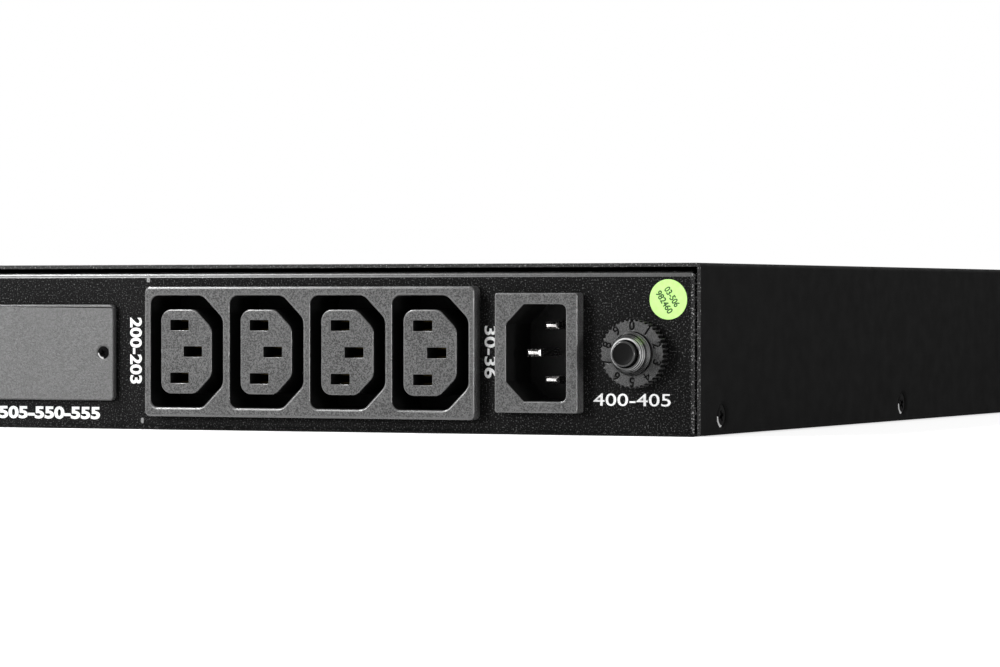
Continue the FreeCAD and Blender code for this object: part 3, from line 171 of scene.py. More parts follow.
def fill(bm, *rings):
    """Flat face between an outer ring and the rings of its holes."""
    edges = []
    for loop in rings:
        for a, b in zip(loop, loop[1:] + loop[:1]):
            edges.append(bm.edges.get((a, b)) or bm.edges.new((a, b)))
    bmesh.ops.triangle_fill(bm, use_beauty=True, edges=edges, normal=(0, 0, 1))


def rounded_rim(bm, shape, level, rim, at=(0.0, 0.0), hole=False, steps=6):
    """Rings that round an edge off, from the wall to the face at the level."""
    rings = []
    for k in range(rim_steps + 1):
        angle = math.pi / 2 * k / rim_steps
        inward = rim * (1 - math.cos(angle))
        points = outline(shape, inward if hole else -inward, at, steps)
        rings.append(ring(bm, points, level - rim + rim * math.sin(angle)))
    return rings


# Takes a drawing's across, up and outward axes to the world's X, Z and Y
REAR = Matrix(((1, 0, 0, 0), (0, 0, 1, 0), (0, 1, 0, 0), (0, 0, 0, 1)))


def facing(origin, outward, up=Z_AXIS):
    """Frame whose third axis points outward, with the second as near to up as it can be."""
    c = outward.normalized()
    a = up.cross(c).normalized()
    b = c.cross(a)
    return Matrix.Translation(origin) @ Matrix((a, b, c)).transposed().to_4x4()


def spun(turn):
    """Turn about the third axis, in degrees."""
    return Matrix.Rotation(math.radians(turn), 4, "Z")


def as_mesh(bm, name):
    mesh = bpy.data.meshes.new(name)
    bm.to_mesh(mesh)
    bm.free()
    return mesh


def in_scene(name, data):
    """New object in the scene's collection."""
    item = bpy.data.objects.new(name, data)
    bpy.context.collection.objects.link(item)
    return item


def zoned(bm, zone):
    """Gives each face the material whose number the zone function makes of its middle and normal."""
    for face in bm.faces:
        face.material_index = zone(face.calc_center_median(), face.normal)


def finished(bm, name, material, place=None, sharp=sharp_angle, more=()):
    """Object from a bmesh, with clean normals and smooth shading up to the sharp angle."""
    bmesh.ops.remove_doubles(bm, verts=bm.verts, dist=weld_distance)
    if place is not None:
        bm.transform(place)
    bmesh.ops.recalc_face_normals(bm, faces=bm.faces)
    return dressed(as_mesh(bm, name), name, material, sharp, more)


def dressed(mesh, name, material, sharp=sharp_angle, more=()):
    """Object from a mesh, smooth up to the sharp angle; more holds the materials of zones 1 and up."""
    mesh.shade_smooth()
    mesh.set_sharp_from_angle(angle=math.radians(sharp))
    indices = [face.material_index for face in mesh.polygons]
    mesh.materials.clear()
    for one in (material, *more):
        mesh.materials.append(one)
    if more:
        mesh.polygons.foreach_set("material_index", indices)
    piece = in_scene(name, mesh)
    weighted = piece.modifiers.new("even_normals", "WEIGHTED_NORMAL")
    weighted.keep_sharp = True
    return piece


def stands_for(piece, body, slot, *replaced):
    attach(piece, body)
    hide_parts(*replaced)
    return piece


def belongs(piece, body):
    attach(piece, body)
    return piece


def refined(node, name, material, bevel, body="enclosure", steps=2, more=(), zone=None, extra=None):
    """Copy of a CAD node's mesh with clean flat faces and slightly rounded edges."""
    bm = bmesh.new()
    bm.from_mesh(nodes[node].data)
    bmesh.ops.remove_doubles(bm, verts=bm.verts, dist=weld_distance)
    bmesh.ops.dissolve_limit(
        bm, angle_limit=math.radians(flat_angle), verts=bm.verts, edges=bm.edges,
        use_dissolve_boundaries=False)
    if extra is not None:
        extra(bm)
    bmesh.ops.recalc_face_normals(bm, faces=bm.faces)
    if zone is not None:
        zoned(bm, zone)
    piece = dressed(as_mesh(bm, name), name, material, more=more)
    rounding = piece.modifiers.new("rounded_edges", "BEVEL")
    rounding.width = bevel
    rounding.segments = steps
    rounding.limit_method = "ANGLE"
    rounding.angle_limit = math.radians(bevel_angle)
    piece.modifiers.move(len(piece.modifiers) - 1, 0)
    slot = next(part["material_slot"] for part in frame["record"]["subparts"] if part["node"] == node)
    return stands_for(piece, body, slot, node)


# Materials

# Range that most values of a noise fall in
usual = (0.3, 0.7)

# Colour sockets of a mix node, which come after those for other kinds of data
mix_first, mix_second, mix_result = 6, 7, 2


class Surface:
    """Principled material on object coordinates, built up from small steps."""

    def __init__(self, name, roughness=0.5, metallic=0.0, specular=0.5):
        self.material = bpy.data.materials.new(name)
        self.material.use_nodes = True
        self.tree = self.material.node_tree
        self.tree.nodes.clear()
        output = self.add("ShaderNodeOutputMaterial")
        self.shader = self.add("ShaderNodeBsdfPrincipled")
        self.link(self.shader.outputs["BSDF"], output.inputs["Surface"])
        self.shader.inputs["Metallic"].default_value = metallic
        self.shader.inputs["Roughness"].default_value = roughness
        self.shader.inputs["Specular IOR Level"].default_value = specular
        self.place = self.add("ShaderNodeTexCoord").outputs["Object"]

    def add(self, kind, **settings):
        node = self.tree.nodes.new(kind)
        for key, value in settings.items():
            setattr(node, key, value)
        return node

    def link(self, source, target):
        self.tree.links.new(source, target)

    def stretched(self, scale):
        mapping = self.add("ShaderNodeMapping")
        mapping.inputs["Scale"].default_value = scale
        self.link(self.place, mapping.inputs["Vector"])
        return mapping.outputs["Vector"]

    def noise(self, size, detail=2.0, roughness=0.5, scale=(1, 1, 1)):
        """Noise with features of about the given size in metres."""
        noise = self.add("ShaderNodeTexNoise")
        noise.inputs["Scale"].default_value = 1 / size
        noise.inputs["Detail"].default_value = detail
        noise.inputs["Roughness"].default_value = roughness
        self.link(self.stretched(scale) if scale != (1, 1, 1) else self.place, noise.inputs["Vector"])
        return noise.outputs["Fac"]

    def ranged(self, value, low, high, to_low=0.0, to_high=1.0):
        limit = self.add("ShaderNodeMapRange")
        numbers = {"From Min": low, "From Max": high, "To Min": to_low, "To Max": to_high}
        for socket, number in numbers.items():
            limit.inputs[socket].default_value = number
        self.link(value, limit.inputs["Value"])
        return limit.outputs["Result"]

    def mixed(self, factor, first, second):
        """Colour between two colours by a factor."""
        mix = self.add("ShaderNodeMix", data_type="RGBA")
        for socket, value in ((mix_first, first), (mix_second, second)):
            if isinstance(value, tuple):
                mix.inputs[socket].default_value = (*value, 1.0)
            else:
                self.link(value, mix.inputs[socket])
        self.link(factor, mix.inputs[0])
        return mix.outputs[mix_result]

    def colour(self, factor, first, second):
        """Base colour between two colours by a factor."""
        self.link(self.mixed(factor, first, second), self.shader.inputs["Base Color"])

    def rough(self, value, low, high, to_low, to_high):
        self.link(self.ranged(value, low, high, to_low, to_high), self.shader.inputs["Roughness"])

    def bumped(self, value, height):
        """Adds relief of the given height in metres over what is there."""
        bump = self.add("ShaderNodeBump")
        bump.inputs["Distance"].default_value = height
        bump.inputs["Strength"].default_value = 1.0
        self.link(value, bump.inputs["Height"])
        socket = self.shader.inputs["Normal"]
        if socket.is_linked:
            self.link(socket.links[0].from_socket, bump.inputs["Normal"])
        self.link(bump.outputs["Normal"], socket)


def grained(
        name, dark, light, roughness, grain, relief, specular=0.5, metallic=0.0, patch=9.0 * mm, spread=0.2):
    """Surface with a fine grain, slow patches of tone and uneven gloss; less spread, more contrast."""
    slow_share, fine_share, uneven = 0.35, 0.65, 0.06
    surface = Surface(name, roughness, metallic, specular)
    crisp = spread < 0.2
    fine = surface.noise(grain, detail=4.0 if crisp else 3.0, roughness=0.8 if crisp else 0.65)
    slow = surface.noise(patch, detail=4.0)
    tone = surface.add("ShaderNodeMath", operation="MULTIPLY_ADD")
    tone.inputs[1].default_value = slow_share
    surface.link(slow, tone.inputs[0])
    surface.link(surface.ranged(fine, 0.5 - spread, 0.5 + spread, 0.0, fine_share), tone.inputs[2])
    surface.colour(tone.outputs["Value"], dark, light)
    surface.rough(slow, *usual, roughness - uneven, roughness + uneven)
    surface.bumped(fine, relief)
    return surface.material


def grey(level, warm=0.0):
    return (level * (1 + warm), level, level * (1 - warm))


def sandy_paint(name, specular, gloss, base, speck, relief):
    """Black powder coat: a sandy grain whose peaks catch the light."""
    grain_size, patch_size = 0.42 * mm, 16 * mm
    surface = Surface(name, specular=specular)
    grain = surface.noise(grain_size, detail=2.0, roughness=0.6)
    slow = surface.noise(patch_size, detail=3.0)
    ground = surface.mixed(surface.ranged(slow, *usual), grey(base * 0.7), grey(base * 1.3))
    surface.colour(surface.ranged(grain, 0.57, 0.74), ground, grey(speck))
    surface.rough(grain, 0.35, 0.7, gloss + 0.14, gloss - 0.06)
    surface.bumped(grain, relief)
    return surface.material


panel_paint = sandy_paint(
    "sandy_black_paint", specular=0.04, gloss=0.42, base=0.003, speck=0.12, relief=0.12 * mm)
# Glossier paint on the top fold, its specks a little lighter than the panel's: partly a painted highlight
bend_paint = sandy_paint(
    "sandy_paint_on_bends", specular=0.65, gloss=0.26, base=0.002, speck=0.16, relief=0.03 * mm)
# Light specks on the folds at the sides: a painted highlight
side_bend_highlight_paint = sandy_paint(
    "sandy_paint_with_painted_highlight_on_side_bends", specular=0.2, gloss=0.3, base=0.006, speck=0.55, relief=0.05 * mm)
# Light specks on the cover's rear cut edge: a painted highlight
lit_edge_paint = sandy_paint(
    "sandy_paint_with_painted_highlight_on_edges", specular=0.15, gloss=0.34, base=0.008, speck=0.35, relief=0.1 * mm)
cover_paint = grained(
    "satin_black_paint", grey(0.005), grey(0.007), 0.6, 0.6 * mm, 0.012 * mm, specular=0.006, patch=5 * mm)
plate_paint = grained(
    "satin_grey_paint", grey(0.01), grey(0.11), 0.33, 0.5 * mm, 0.1 * mm,
    specular=0.4, patch=14 * mm, spread=0.14)
socket_plastic = grained(
    "socket_plastic", grey(0.0), grey(0.12), 0.4, 0.4 * mm, 0.1 * mm, specular=0.25, spread=0.04)
inlet_plastic = grained(
    "inlet_plastic", grey(0.0), grey(0.13), 0.4, 0.38 * mm, 0.1 * mm, specular=0.25, spread=0.04)
nut_plastic = grained(
    "nut_plastic", grey(0.0), grey(0.07), 0.34, 0.34 * mm, 0.1 * mm, specular=0.3, spread=0.035)
lip_plastic = grained("lip_plastic", grey(0.01), grey(0.09), 0.27, 0.5 * mm, 0.02 * mm, specular=0.9)
# Near-black for the walls and floors of wells, bores, knurl valleys and sunk numbers: painted shade, darker
# than the plastic or metal around them
painted_shade_black = grained("painted_shade_black", grey(0.004), grey(0.007), 0.5, 0.7 * mm, 0.03 * mm, specular=0.06)
button_plastic = grained("button_plastic", grey(0.003), grey(0.005), 0.3, 0.6 * mm, 0.008 * mm, specular=0.05)
button_gloss = grained("button_gloss", grey(0.003), grey(0.005), 0.2, 0.6 * mm, 0.004 * mm, specular=0.6)
bezel_plastic = grained("bezel_plastic", grey(0.012), grey(0.026), 0.46, 0.45 * mm, 0.03 * mm, specular=0.12)
moulded_black = grained("moulded_black", grey(0.01), grey(0.02), 0.4, 0.6 * mm, 0.02 * mm, specular=0.15)
key_plastic = grained("key_plastic", grey(0.06), grey(0.09), 0.4, 0.4 * mm, 0.015 * mm)
battery_plastic = grained("battery_plastic", grey(0.1), grey(0.14), 0.5, 0.7 * mm, 0.03 * mm)
nylon = grained("white_nylon", grey(0.72, 0.02), grey(0.84, 0.02), 0.45, 0.8 * mm, 0.02 * mm)
sleeve_plastic = grained(
    "capacitor_sleeve", (0.03, 0.035, 0.1), (0.045, 0.055, 0.14), 0.35, 0.8 * mm, 0.01 * mm)
relay_plastic = grained("relay_plastic", (0.03, 0.09, 0.3), (0.04, 0.12, 0.36), 0.42, 0.6 * mm, 0.01 * mm)
board_resist = grained("board_resist", (0.012, 0.1, 0.035), (0.02, 0.15, 0.055), 0.35, 1.4 * mm, 0.03 * mm)
winding = grained("winding_tape", (0.5, 0.33, 0.05), (0.64, 0.44, 0.09), 0.4, 1.2 * mm, 0.05 * mm)
# Darker plastic for the inlet's cavity walls: painted shade inside the cavity
painted_shade_cavity_plastic = grained("painted_shade_cavity_plastic", grey(0.004), grey(0.01), 0.4, 0.7 * mm, 0.02 * mm, specular=0.12)
screw_black = grained("screw_black", grey(0.003), grey(0.006), 0.4, 0.5 * mm, 0.03 * mm, specular=0.006)
core_steel = grained("varnished_steel", grey(0.12), grey(0.2), 0.45, 0.8 * mm, 0.04 * mm, metallic=0.7)


def brushed(name, dark, light, roughness, along, size, relief):
    """Metal with fine lines that run along one axis."""
    drawn_out = 0.04
    surface = Surface(name, roughness, metallic=1.0)
    scale = tuple(drawn_out if along == axis else 1.0 for axis in "XYZ")
    lines = surface.noise(size, detail=3.0, roughness=0.6, scale=scale)
    surface.colour(surface.ranged(lines, *usual), dark, light)
    surface.rough(lines, *usual, roughness - 0.07, roughness + 0.09)
    surface.bumped(lines, relief)
    return surface.material


pin_nickel = brushed("pin_nickel", grey(0.4, 0.02), grey(0.6, 0.02), 0.24, "Y", 0.5 * mm, 0.006 * mm)
# Bright steel for a stretch of each screw's chamfered edge: a painted glint
painted_glint_steel = brushed("painted_glint_steel", grey(0.3), grey(0.5), 0.3, "Y", 0.5 * mm, 0.01 * mm)
zinc_steel = brushed("zinc_steel", grey(0.42), grey(0.6), 0.36, "X", 0.7 * mm, 0.01 * mm)
sink_aluminium = brushed("sink_aluminium", grey(0.55), grey(0.7), 0.38, "Y", 0.6 * mm, 0.01 * mm)
# Brass darkened far below its own tone: painted shade for the contacts deep in the outlet slots; the battery
# terminals share it
contact_brass = brushed(
    "contact_brass", (0.02, 0.015, 0.006), (0.04, 0.03, 0.012), 0.45, "Y", 0.5 * mm, 0.006 * mm)
lcd_steel = brushed("display_frame", grey(0.35), grey(0.48), 0.4, "X", 0.6 * mm, 0.008 * mm)


def turned_metal():
    """Nickel with the fine rings that a lathe leaves round its Y axis."""
    ring_pitch, drawn_out = 0.4 * mm, 0.02
    surface = Surface("turned_metal", 0.3, metallic=1.0)
    rings = surface.noise(ring_pitch, detail=1.0, roughness=0.6, scale=(drawn_out, 1, drawn_out))
    surface.colour(surface.ranged(rings, 0.42, 0.58), grey(0.07), grey(0.42))
    surface.rough(rings, *usual, 0.2, 0.34)
    surface.bumped(rings, 0.08 * mm)
    return surface.material


def window_acrylic():
    haze_size, wave_size = 12 * mm, 25 * mm
    surface = Surface("dark_acrylic", 0.08, specular=0.06)
    haze = surface.noise(haze_size, detail=3.0)
    surface.colour(surface.ranged(haze, *usual), (0.004, 0.005, 0.006), (0.008, 0.009, 0.011))
    surface.rough(haze, *usual, 0.05, 0.11)
    surface.bumped(surface.noise(wave_size), 0.02 * mm)
    return surface.material


def label_stock():
    surface = Surface("sticker_stock", 0.45, specular=0.4)
    mottle = surface.noise(1.2 * mm, detail=3.0)
    surface.colour(surface.ranged(mottle, *usual), (0.46, 0.8, 0.21), (0.52, 0.86, 0.27))
    surface.bumped(mottle, 0.01 * mm)
    return surface.material


def ink(name, dark, light, relief):
    surface = Surface(name, 0.5, specular=0.3)
    patchy = surface.noise(0.3 * mm, detail=3.0, roughness=0.7)
    surface.colour(surface.ranged(patchy, 0.34, 0.55), dark, light)
    surface.bumped(patchy, relief)
    return surface.material


bush_metal = turned_metal()
window_dark = window_acrylic()
sticker_stock = label_stock()
white_ink = ink("white_ink", grey(0.62), grey(0.92), 0.03 * mm)
faded_ink = ink("faded_ink", grey(0.05), grey(0.25), 0.03 * mm)
green_ink = ink("green_ink", (0.015, 0.05, 0.008), (0.03, 0.09, 0.015), 0.004 * mm)


# Outlets and inlet

def contact_places():
    """Across and up offsets of an outlet's slots: the blades above and below, the earth between them."""
    half = earth_offset / 2
    return [(half, blade_spacing / 2), (-half, 0.0), (half, -blade_spacing / 2)]


def mould_zone(at, half_w, half_h, face, rim):
    """Zone 1 inside a well, which gets painted shade, 2 on a rounded edge, 0 on the flat face and flanks."""
    tolerance = 1e-6
    if abs(at.x) < half_w and abs(at.y) < half_h and at.z < face - rim + tolerance:
        return 1
    return 2 if face - rim - tolerance < at.z < face - tolerance else 0


def moulding(bm, flange, behind, face, rim, back):
    """Flange on the panel with a narrower body behind it; gives the ring round its open face."""
    seat = ring(bm, outline(flange), 0.0)
    rims = rounded_rim(bm, flange, face, rim)
    bridge(bm, [seat] + rims)
    inner = ring(bm, outline(behind), 0.0)
    end = ring(bm, outline(behind), back)
    fill(bm, seat, inner)
    bridge(bm, [inner, end])
    fill(bm, end)
    return rims[-1]


def outlet_strip():
    """Strip with four chamfered wells, each round a core that has three contact slots."""
    low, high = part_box("outlet_block")
    face = high.y - panel_y
    rim, well_rim, core_rim, slot_rim = 0.6 * mm, 0.55 * mm, 0.4 * mm, 0.12 * mm
    well_depth, slot_depth = 17.0 * mm, 15.5 * mm
    floor, slot_floor = face - well_depth, face - slot_depth
    flange = oblong(96.5 * mm, 34.5 * mm, 1.5 * mm)
    behind = oblong(94.9 * mm, 32.9 * mm, 1.4 * mm)
    well = connector(21.7 * mm, 29.6 * mm, 6.1 * mm, 3.2 * mm, 2.3 * mm, -1)
    core = connector(15.2 * mm, 22.4 * mm, 4.9 * mm, 3.2 * mm, 3.0 * mm, -1)
    slot = oblong(5.5 * mm, 2.8 * mm, 0.2 * mm)
    wells_half_w, wells_half_h = 47.0 * mm, 16.0 * mm
    bm = bmesh.new()
    brim = moulding(bm, flange, behind, face, rim, low.y - panel_y)
    mouths = []
    for gang in range(gang_count):
        at = ((gang - (gang_count - 1) / 2) * gang_pitch, 0.0)
        lips = rounded_rim(bm, well, face, well_rim, at, hole=True)
        bottom = ring(bm, outline(well, at=at), floor)
        bridge(bm, [bottom] + lips)
        mouths.append(lips[-1])
        foot = ring(bm, outline(core, at=at), floor)
        fill(bm, bottom, foot)
        edges = rounded_rim(bm, core, face, core_rim, at)
        bridge(bm, [foot] + edges)
        slots = []
        for across, up in contact_places():
            here = (at[0] + across, at[1] + up)
            slot_lips = rounded_rim(bm, slot, face, slot_rim, here, hole=True, steps=2)
            end = ring(bm, outline(slot, at=here, steps=2), slot_floor)
            bridge(bm, [end] + slot_lips)
            fill(bm, end)
            slots.append(slot_lips[-1])
        fill(bm, edges[-1], *slots)
    fill(bm, brim, *mouths)
    # The wells take the painted shade material, their lips the glossier plastic
    zoned(bm, lambda at, _: mould_zone(at, wells_half_w, wells_half_h, face, well_rim))
    place = Matrix.Translation(on_panel(*strip_at)) @ REAR
    piece = finished(bm, "outlet_strip", socket_plastic, place, more=(painted_shade_black, lip_plastic))
    return stands_for(piece, "enclosure", "socket_plastic", "outlet_block")


def inlet_housing():
    """Appliance inlet with a chamfered cavity."""
    low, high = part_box("inlet_body")
    face = high.y - panel_y
    cavity_depth = 16.0 * mm
    flange = oblong(23.1 * mm, 30.7 * mm, 0.7 * mm)
    behind = oblong(20.9 * mm, 28.5 * mm, 0.7 * mm)
    cavity = connector(16.7 * mm, 24.8 * mm, 5.0 * mm, 0.8 * mm, 1.6 * mm, 1)
    rim, mouth_rim = 0.4 * mm, 0.36 * mm
    mouth_half_w, mouth_half_h = 10.0 * mm, 14.0 * mm
    bm = bmesh.new()
    brim = moulding(bm, flange, behind, face, rim, low.y - panel_y)
    lips = rounded_rim(bm, cavity, face, mouth_rim, hole=True)
    bottom = ring(bm, outline(cavity), face - cavity_depth)
    bridge(bm, [bottom] + lips)
    fill(bm, bottom)
    fill(bm, brim, lips[-1])
    # The cavity's walls take the painted shade material, its lip the glossier plastic
    zoned(bm, lambda at, _: mould_zone(at, mouth_half_w, mouth_half_h, face, mouth_rim))
    place = Matrix.Translation(on_panel(*inlet_at)) @ REAR
    piece = finished(bm, "inlet_housing", inlet_plastic, place, more=(painted_shade_cavity_plastic, lip_plastic))
    return stands_for(piece, "enclosure", "inlet_plastic", "inlet_body")


# Breaker

def lathed(profile, count, teeth=0):
    """Closed turning from (along, radius, tooth depth) points that start and end on the axis or meet."""
    tooth_shape = 0.7
    bm = bmesh.new()
    rings = []
    for along, radius, depth in profile:
        points = []
        for k in range(count):
            turn = 2 * math.pi * k / count
            dip = depth * (0.5 - 0.5 * math.cos(turn * teeth)) ** tooth_shape if depth else 0.0
            points.append(((radius - dip) * math.cos(turn), (radius - dip) * math.sin(turn)))
        rings.append(ring(bm, points, along))
    bridge(bm, rings)
    return bm, rings


def cut_away(piece, cutter):
    """Takes one mesh out of another for good."""
    tool = piece.modifiers.new("cut", "BOOLEAN")
    tool.operation = "DIFFERENCE"
    tool.solver = "EXACT"
    tool.object = cutter
    piece.modifiers.move(len(piece.modifiers) - 1, 0)
    bpy.context.view_layer.update()
    evaluated = piece.evaluated_get(bpy.context.evaluated_depsgraph_get())
    mesh = bpy.data.meshes.new_from_object(evaluated)
    piece.modifiers.remove(tool)
    mesh.name = piece.name
    piece.data = mesh
    bpy.data.objects.remove(cutter)


def lettering(text, height, thickness, weight):
    """Mesh of plain numbers, centred, with its cap height along Y and its thickness along Z."""
    curve = bpy.data.curves.new("numbers", "FONT")
    curve.body = text
    curve.size = 1.0
    curve.offset = weight
    curve.resolution_u = 4
    curve.extrude = 0.5
    holder = in_scene("numbers", curve)
    bpy.context.view_layer.update()
    evaluated = holder.evaluated_get(bpy.context.evaluated_depsgraph_get())
    mesh = bpy.data.meshes.new_from_object(evaluated)
    bpy.data.objects.remove(holder)
    points = [v.co for v in mesh.vertices]
    low = Vector([min(p[i] for p in points) for i in range(3)])
    high = Vector([max(p[i] for p in points) for i in range(3)])
    scale = height / (high.y - low.y)
    mesh.transform(Matrix.Translation(-(low + high) / 2))
    mesh.transform(Matrix.Diagonal((scale, scale, thickness, 1)))
    return mesh, (high.x - low.x) * scale


def printed(name, text, at, width, height, turn, material, weight):
    """Flat numbers on the rear panel, fitted to a width and a height and turned about the panel's normal."""
    thickness, proud = 0.03 * mm, 0.02 * mm
    mesh, natural = lettering(text, height, thickness, weight)
    stretch = Matrix.Diagonal((width / natural, 1, 1, 1))
    lift = Matrix.Translation((0, 0, proud - thickness / 2))
    mesh.transform(facing(at, Y_AXIS) @ lift @ spun(turn) @ stretch)
    piece = dressed(mesh, name, material)
    return belongs(piece, "enclosure")


def knurled_nut():
    """Grey nut with a straight knurl and numbers sunk into its face; its knurl valleys and sunk numbers carry
    painted shade.
    """
    centre = on_panel(*breaker_at)
    bore, radius, depth, face = 5.5 * mm, 8.85 * mm, 0.7 * mm, 3.3 * mm
    lip = 0.35 * mm
    teeth, points_per_tooth = 42, 10
    profile = [
        (0.0, bore, 0), (0.0, radius - lip, depth * 0.4), (lip, radius, depth), (face - lip, radius, depth),
        (face - lip * 0.3, radius - lip * 0.3, depth * 0.9), (face, radius - lip, depth * 0.3),
        (face, radius - 2.4 * lip, 0), (face, bore + 0.2 * mm, 0), (face - 0.2 * mm, bore, 0), (0.0, bore, 0),
    ]
    bm, _ = lathed(profile, teeth * points_per_tooth, teeth)
    place = facing(centre, Y_AXIS)
    valley_r = radius - 0.45 * depth

    # Painted shade: the knurl's valleys take the near-black material
    def in_a_valley(at, _):
        return int(valley_r > at.xy.length > radius - depth * 1.1 and 0 < at.z < face - lip * 0.5)

    zoned(bm, in_a_valley)
    piece = finished(bm, "knurled_nut", nut_plastic, place, more=(painted_shade_black,))
    sunk, height, ring_r = 0.3 * mm, 2.4 * mm, 7.15 * mm
    marks = bmesh.new()
    for k in range(10):
        mesh, _ = lettering(str(k), height, sunk * 2, 0.0 if k == 4 else 0.02)
        mesh.transform(place @ spun(-36.0 * k) @ Matrix.Translation((0, ring_r, face)))
        marks.from_mesh(mesh)
        bpy.data.meshes.remove(mesh)
    cut_away(piece, in_scene("nut_marks", as_mesh(marks, "nut_marks")))
    # The floors and walls of the sunk numbers take painted shade too
    level = panel_y + face - 0.05 * mm
    for side in piece.data.polygons:
        spot = side.center - centre
        among_numbers = bore + 0.3 * mm < math.hypot(spot.x, spot.z) < valley_r - 0.15 * mm
        if among_numbers and level - sunk < side.center.y < level:
            side.material_index = 1
    return stands_for(piece, "enclosure", "nut_grey", "breaker_nut")


def breaker_neck():
    """Turned bush: a fine-threaded neck that curves in to a thin rim, with painted shade on the walls of its
    bore.
    """
    centre = on_panel(*breaker_at)
    low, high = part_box("breaker_bush")
    back = low.y - panel_y
    seat = -1.2 * mm
    bore, neck, flange = 3.45 * mm, 5.45 * mm, 7.0 * mm
    straight, rim_level, rim_r = 4.5 * mm, high.y - panel_y, 4.1 * mm
    groove_pitch, groove = 1.0 * mm, 0.18 * mm
    profile = [(back, bore, 0), (back, flange, 0), (seat, flange, 0), (seat, neck, 0)]
    grooves = int((rim_level - seat) / groove_pitch)
    for k in range(1, 2 * grooves):
        along = seat + (rim_level - seat) * k / (2 * grooves)
        share = max(0.0, (along - straight) / (rim_level - straight))
        profile.append((along, neck - (neck - rim_r) * share ** 1.1 - (groove if k % 2 else 0.0), 0))
    profile += [
        (rim_level - 0.12 * mm, rim_r - 0.02 * mm, 0), (rim_level, rim_r - 0.14 * mm, 0),
        (rim_level, bore + 0.2 * mm, 0), (rim_level - 0.2 * mm, bore, 0), (back, bore, 0),
    ]
    bm, _ = lathed(profile, count=96)
    # The bore's walls take the painted shade material
    zoned(bm, lambda at, _: int(at.xy.length < bore + 0.05 * mm))
    piece = finished(bm, "breaker_neck", bush_metal, facing(centre, Y_AXIS), sharp=40, more=(painted_shade_black,))
    return stands_for(piece, "enclosure", "bush_metal", "breaker_bush")


def reset_cap():
    """Black push button with a rounded shoulder and a shallow dished face."""
    centre = on_panel(*breaker_at)
    low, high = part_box("reset_button")
    back, face = low.y - panel_y, high.y - panel_y
    radius, shoulder = 3.25 * mm, 0.45 * mm
    profile = [(back, axis_radius, 0), (back, radius, 0), (face - shoulder, radius, 0)]
    for k in range(1, rim_steps + 1):
        angle = math.pi / 2 * k / rim_steps
        along = face - shoulder * (1 - math.sin(angle))
        profile.append((along, radius - shoulder * (1 - math.cos(angle)), 0))
    profile += [
        (face - 0.06 * mm, radius - shoulder - 0.25 * mm, 0), (face - 0.12 * mm, radius * 0.5, 0),
        (face - 0.14 * mm, axis_radius, 0),
    ]
    bm, rings = lathed(profile, count=72)
    fill(bm, rings[0])
    fill(bm, rings[-1])
    zoned(bm, lambda at, _: int(at.z < face - 0.01 * mm and at.xy.length > radius - 0.9 * shoulder))
    piece = finished(bm, "reset_cap", button_plastic, facing(centre, Y_AXIS), more=(button_gloss,))
    return stands_for(piece, "reset_button", "button_black", "reset_button")


# Screws

def cross_screw(bm, place, head_r, shank_r, cone, length, recess):
    """Countersunk screw with a cross recess, whose chamfered edge is bright bare metal along one low rear
    stretch: a painted glint.
    """
    count = 40
    edge, drop = head_r * 0.27, head_r * 0.1
    old = set(bm.verts)
    rings = [
        ring(bm, circle(shank_r, count), -length), ring(bm, circle(shank_r, count), -cone),
        ring(bm, circle(head_r, count), -drop), ring(bm, circle(head_r - edge, count), 0.0),
    ]
    bridge(bm, rings)
    fill(bm, rings[0])
    width, depth = recess * 0.3, recess * 0.42
    mouth = ring(bm, cross(recess, width), 0.0)
    bottom = ring(bm, cross(recess * 0.72, width * 0.8), -depth)
    bridge(bm, [bottom, mouth])
    fill(bm, bottom)
    fill(bm, rings[-1], mouth)
    new = [vert for vert in bm.verts if vert not in old]
    bmesh.ops.transform(bm, matrix=place, verts=new)
    outward, origin = place.col[2].xyz, place.translation
    # Painted glint: the chamfer faces towards the low rear take bright steel
    low_rear = Vector((0.7, 0.7, -0.7))
    glint_side = (low_rear - outward * low_rear.dot(outward)).normalized()
    brim = {vert for loop in rings[2:] for vert in loop}
    for face in {face for vert in rings[2] for face in vert.link_faces}:
        if brim.issuperset(face.verts):
            aside = face.calc_center_median() - origin
            face.material_index = int(aside.normalized().dot(glint_side) > 0.72)


def screw_set(name, node, places, turns, head_r, shank_r, length, recess):
    """All the screws of one node, each with its cross at its own angle."""
    bm = bmesh.new()
    for place, turn in zip(places, turns):
        cross_screw(bm, place @ spun(turn), head_r, shank_r, head_r - shank_r, length, recess)
    piece = finished(bm, name, screw_black, more=(painted_glint_steel,))
    return stands_for(piece, "enclosure", "black_screw", node)


def side_places(heights, depth):
    """Frames on both sides for (y, z) points, sunk by a depth from the cover's side."""
    places = []
    for side in (-1, 1):
        for y, z in heights:
            places.append(facing(Vector((side * (side_x - depth), y, z)), X_AXIS * side))
    return places


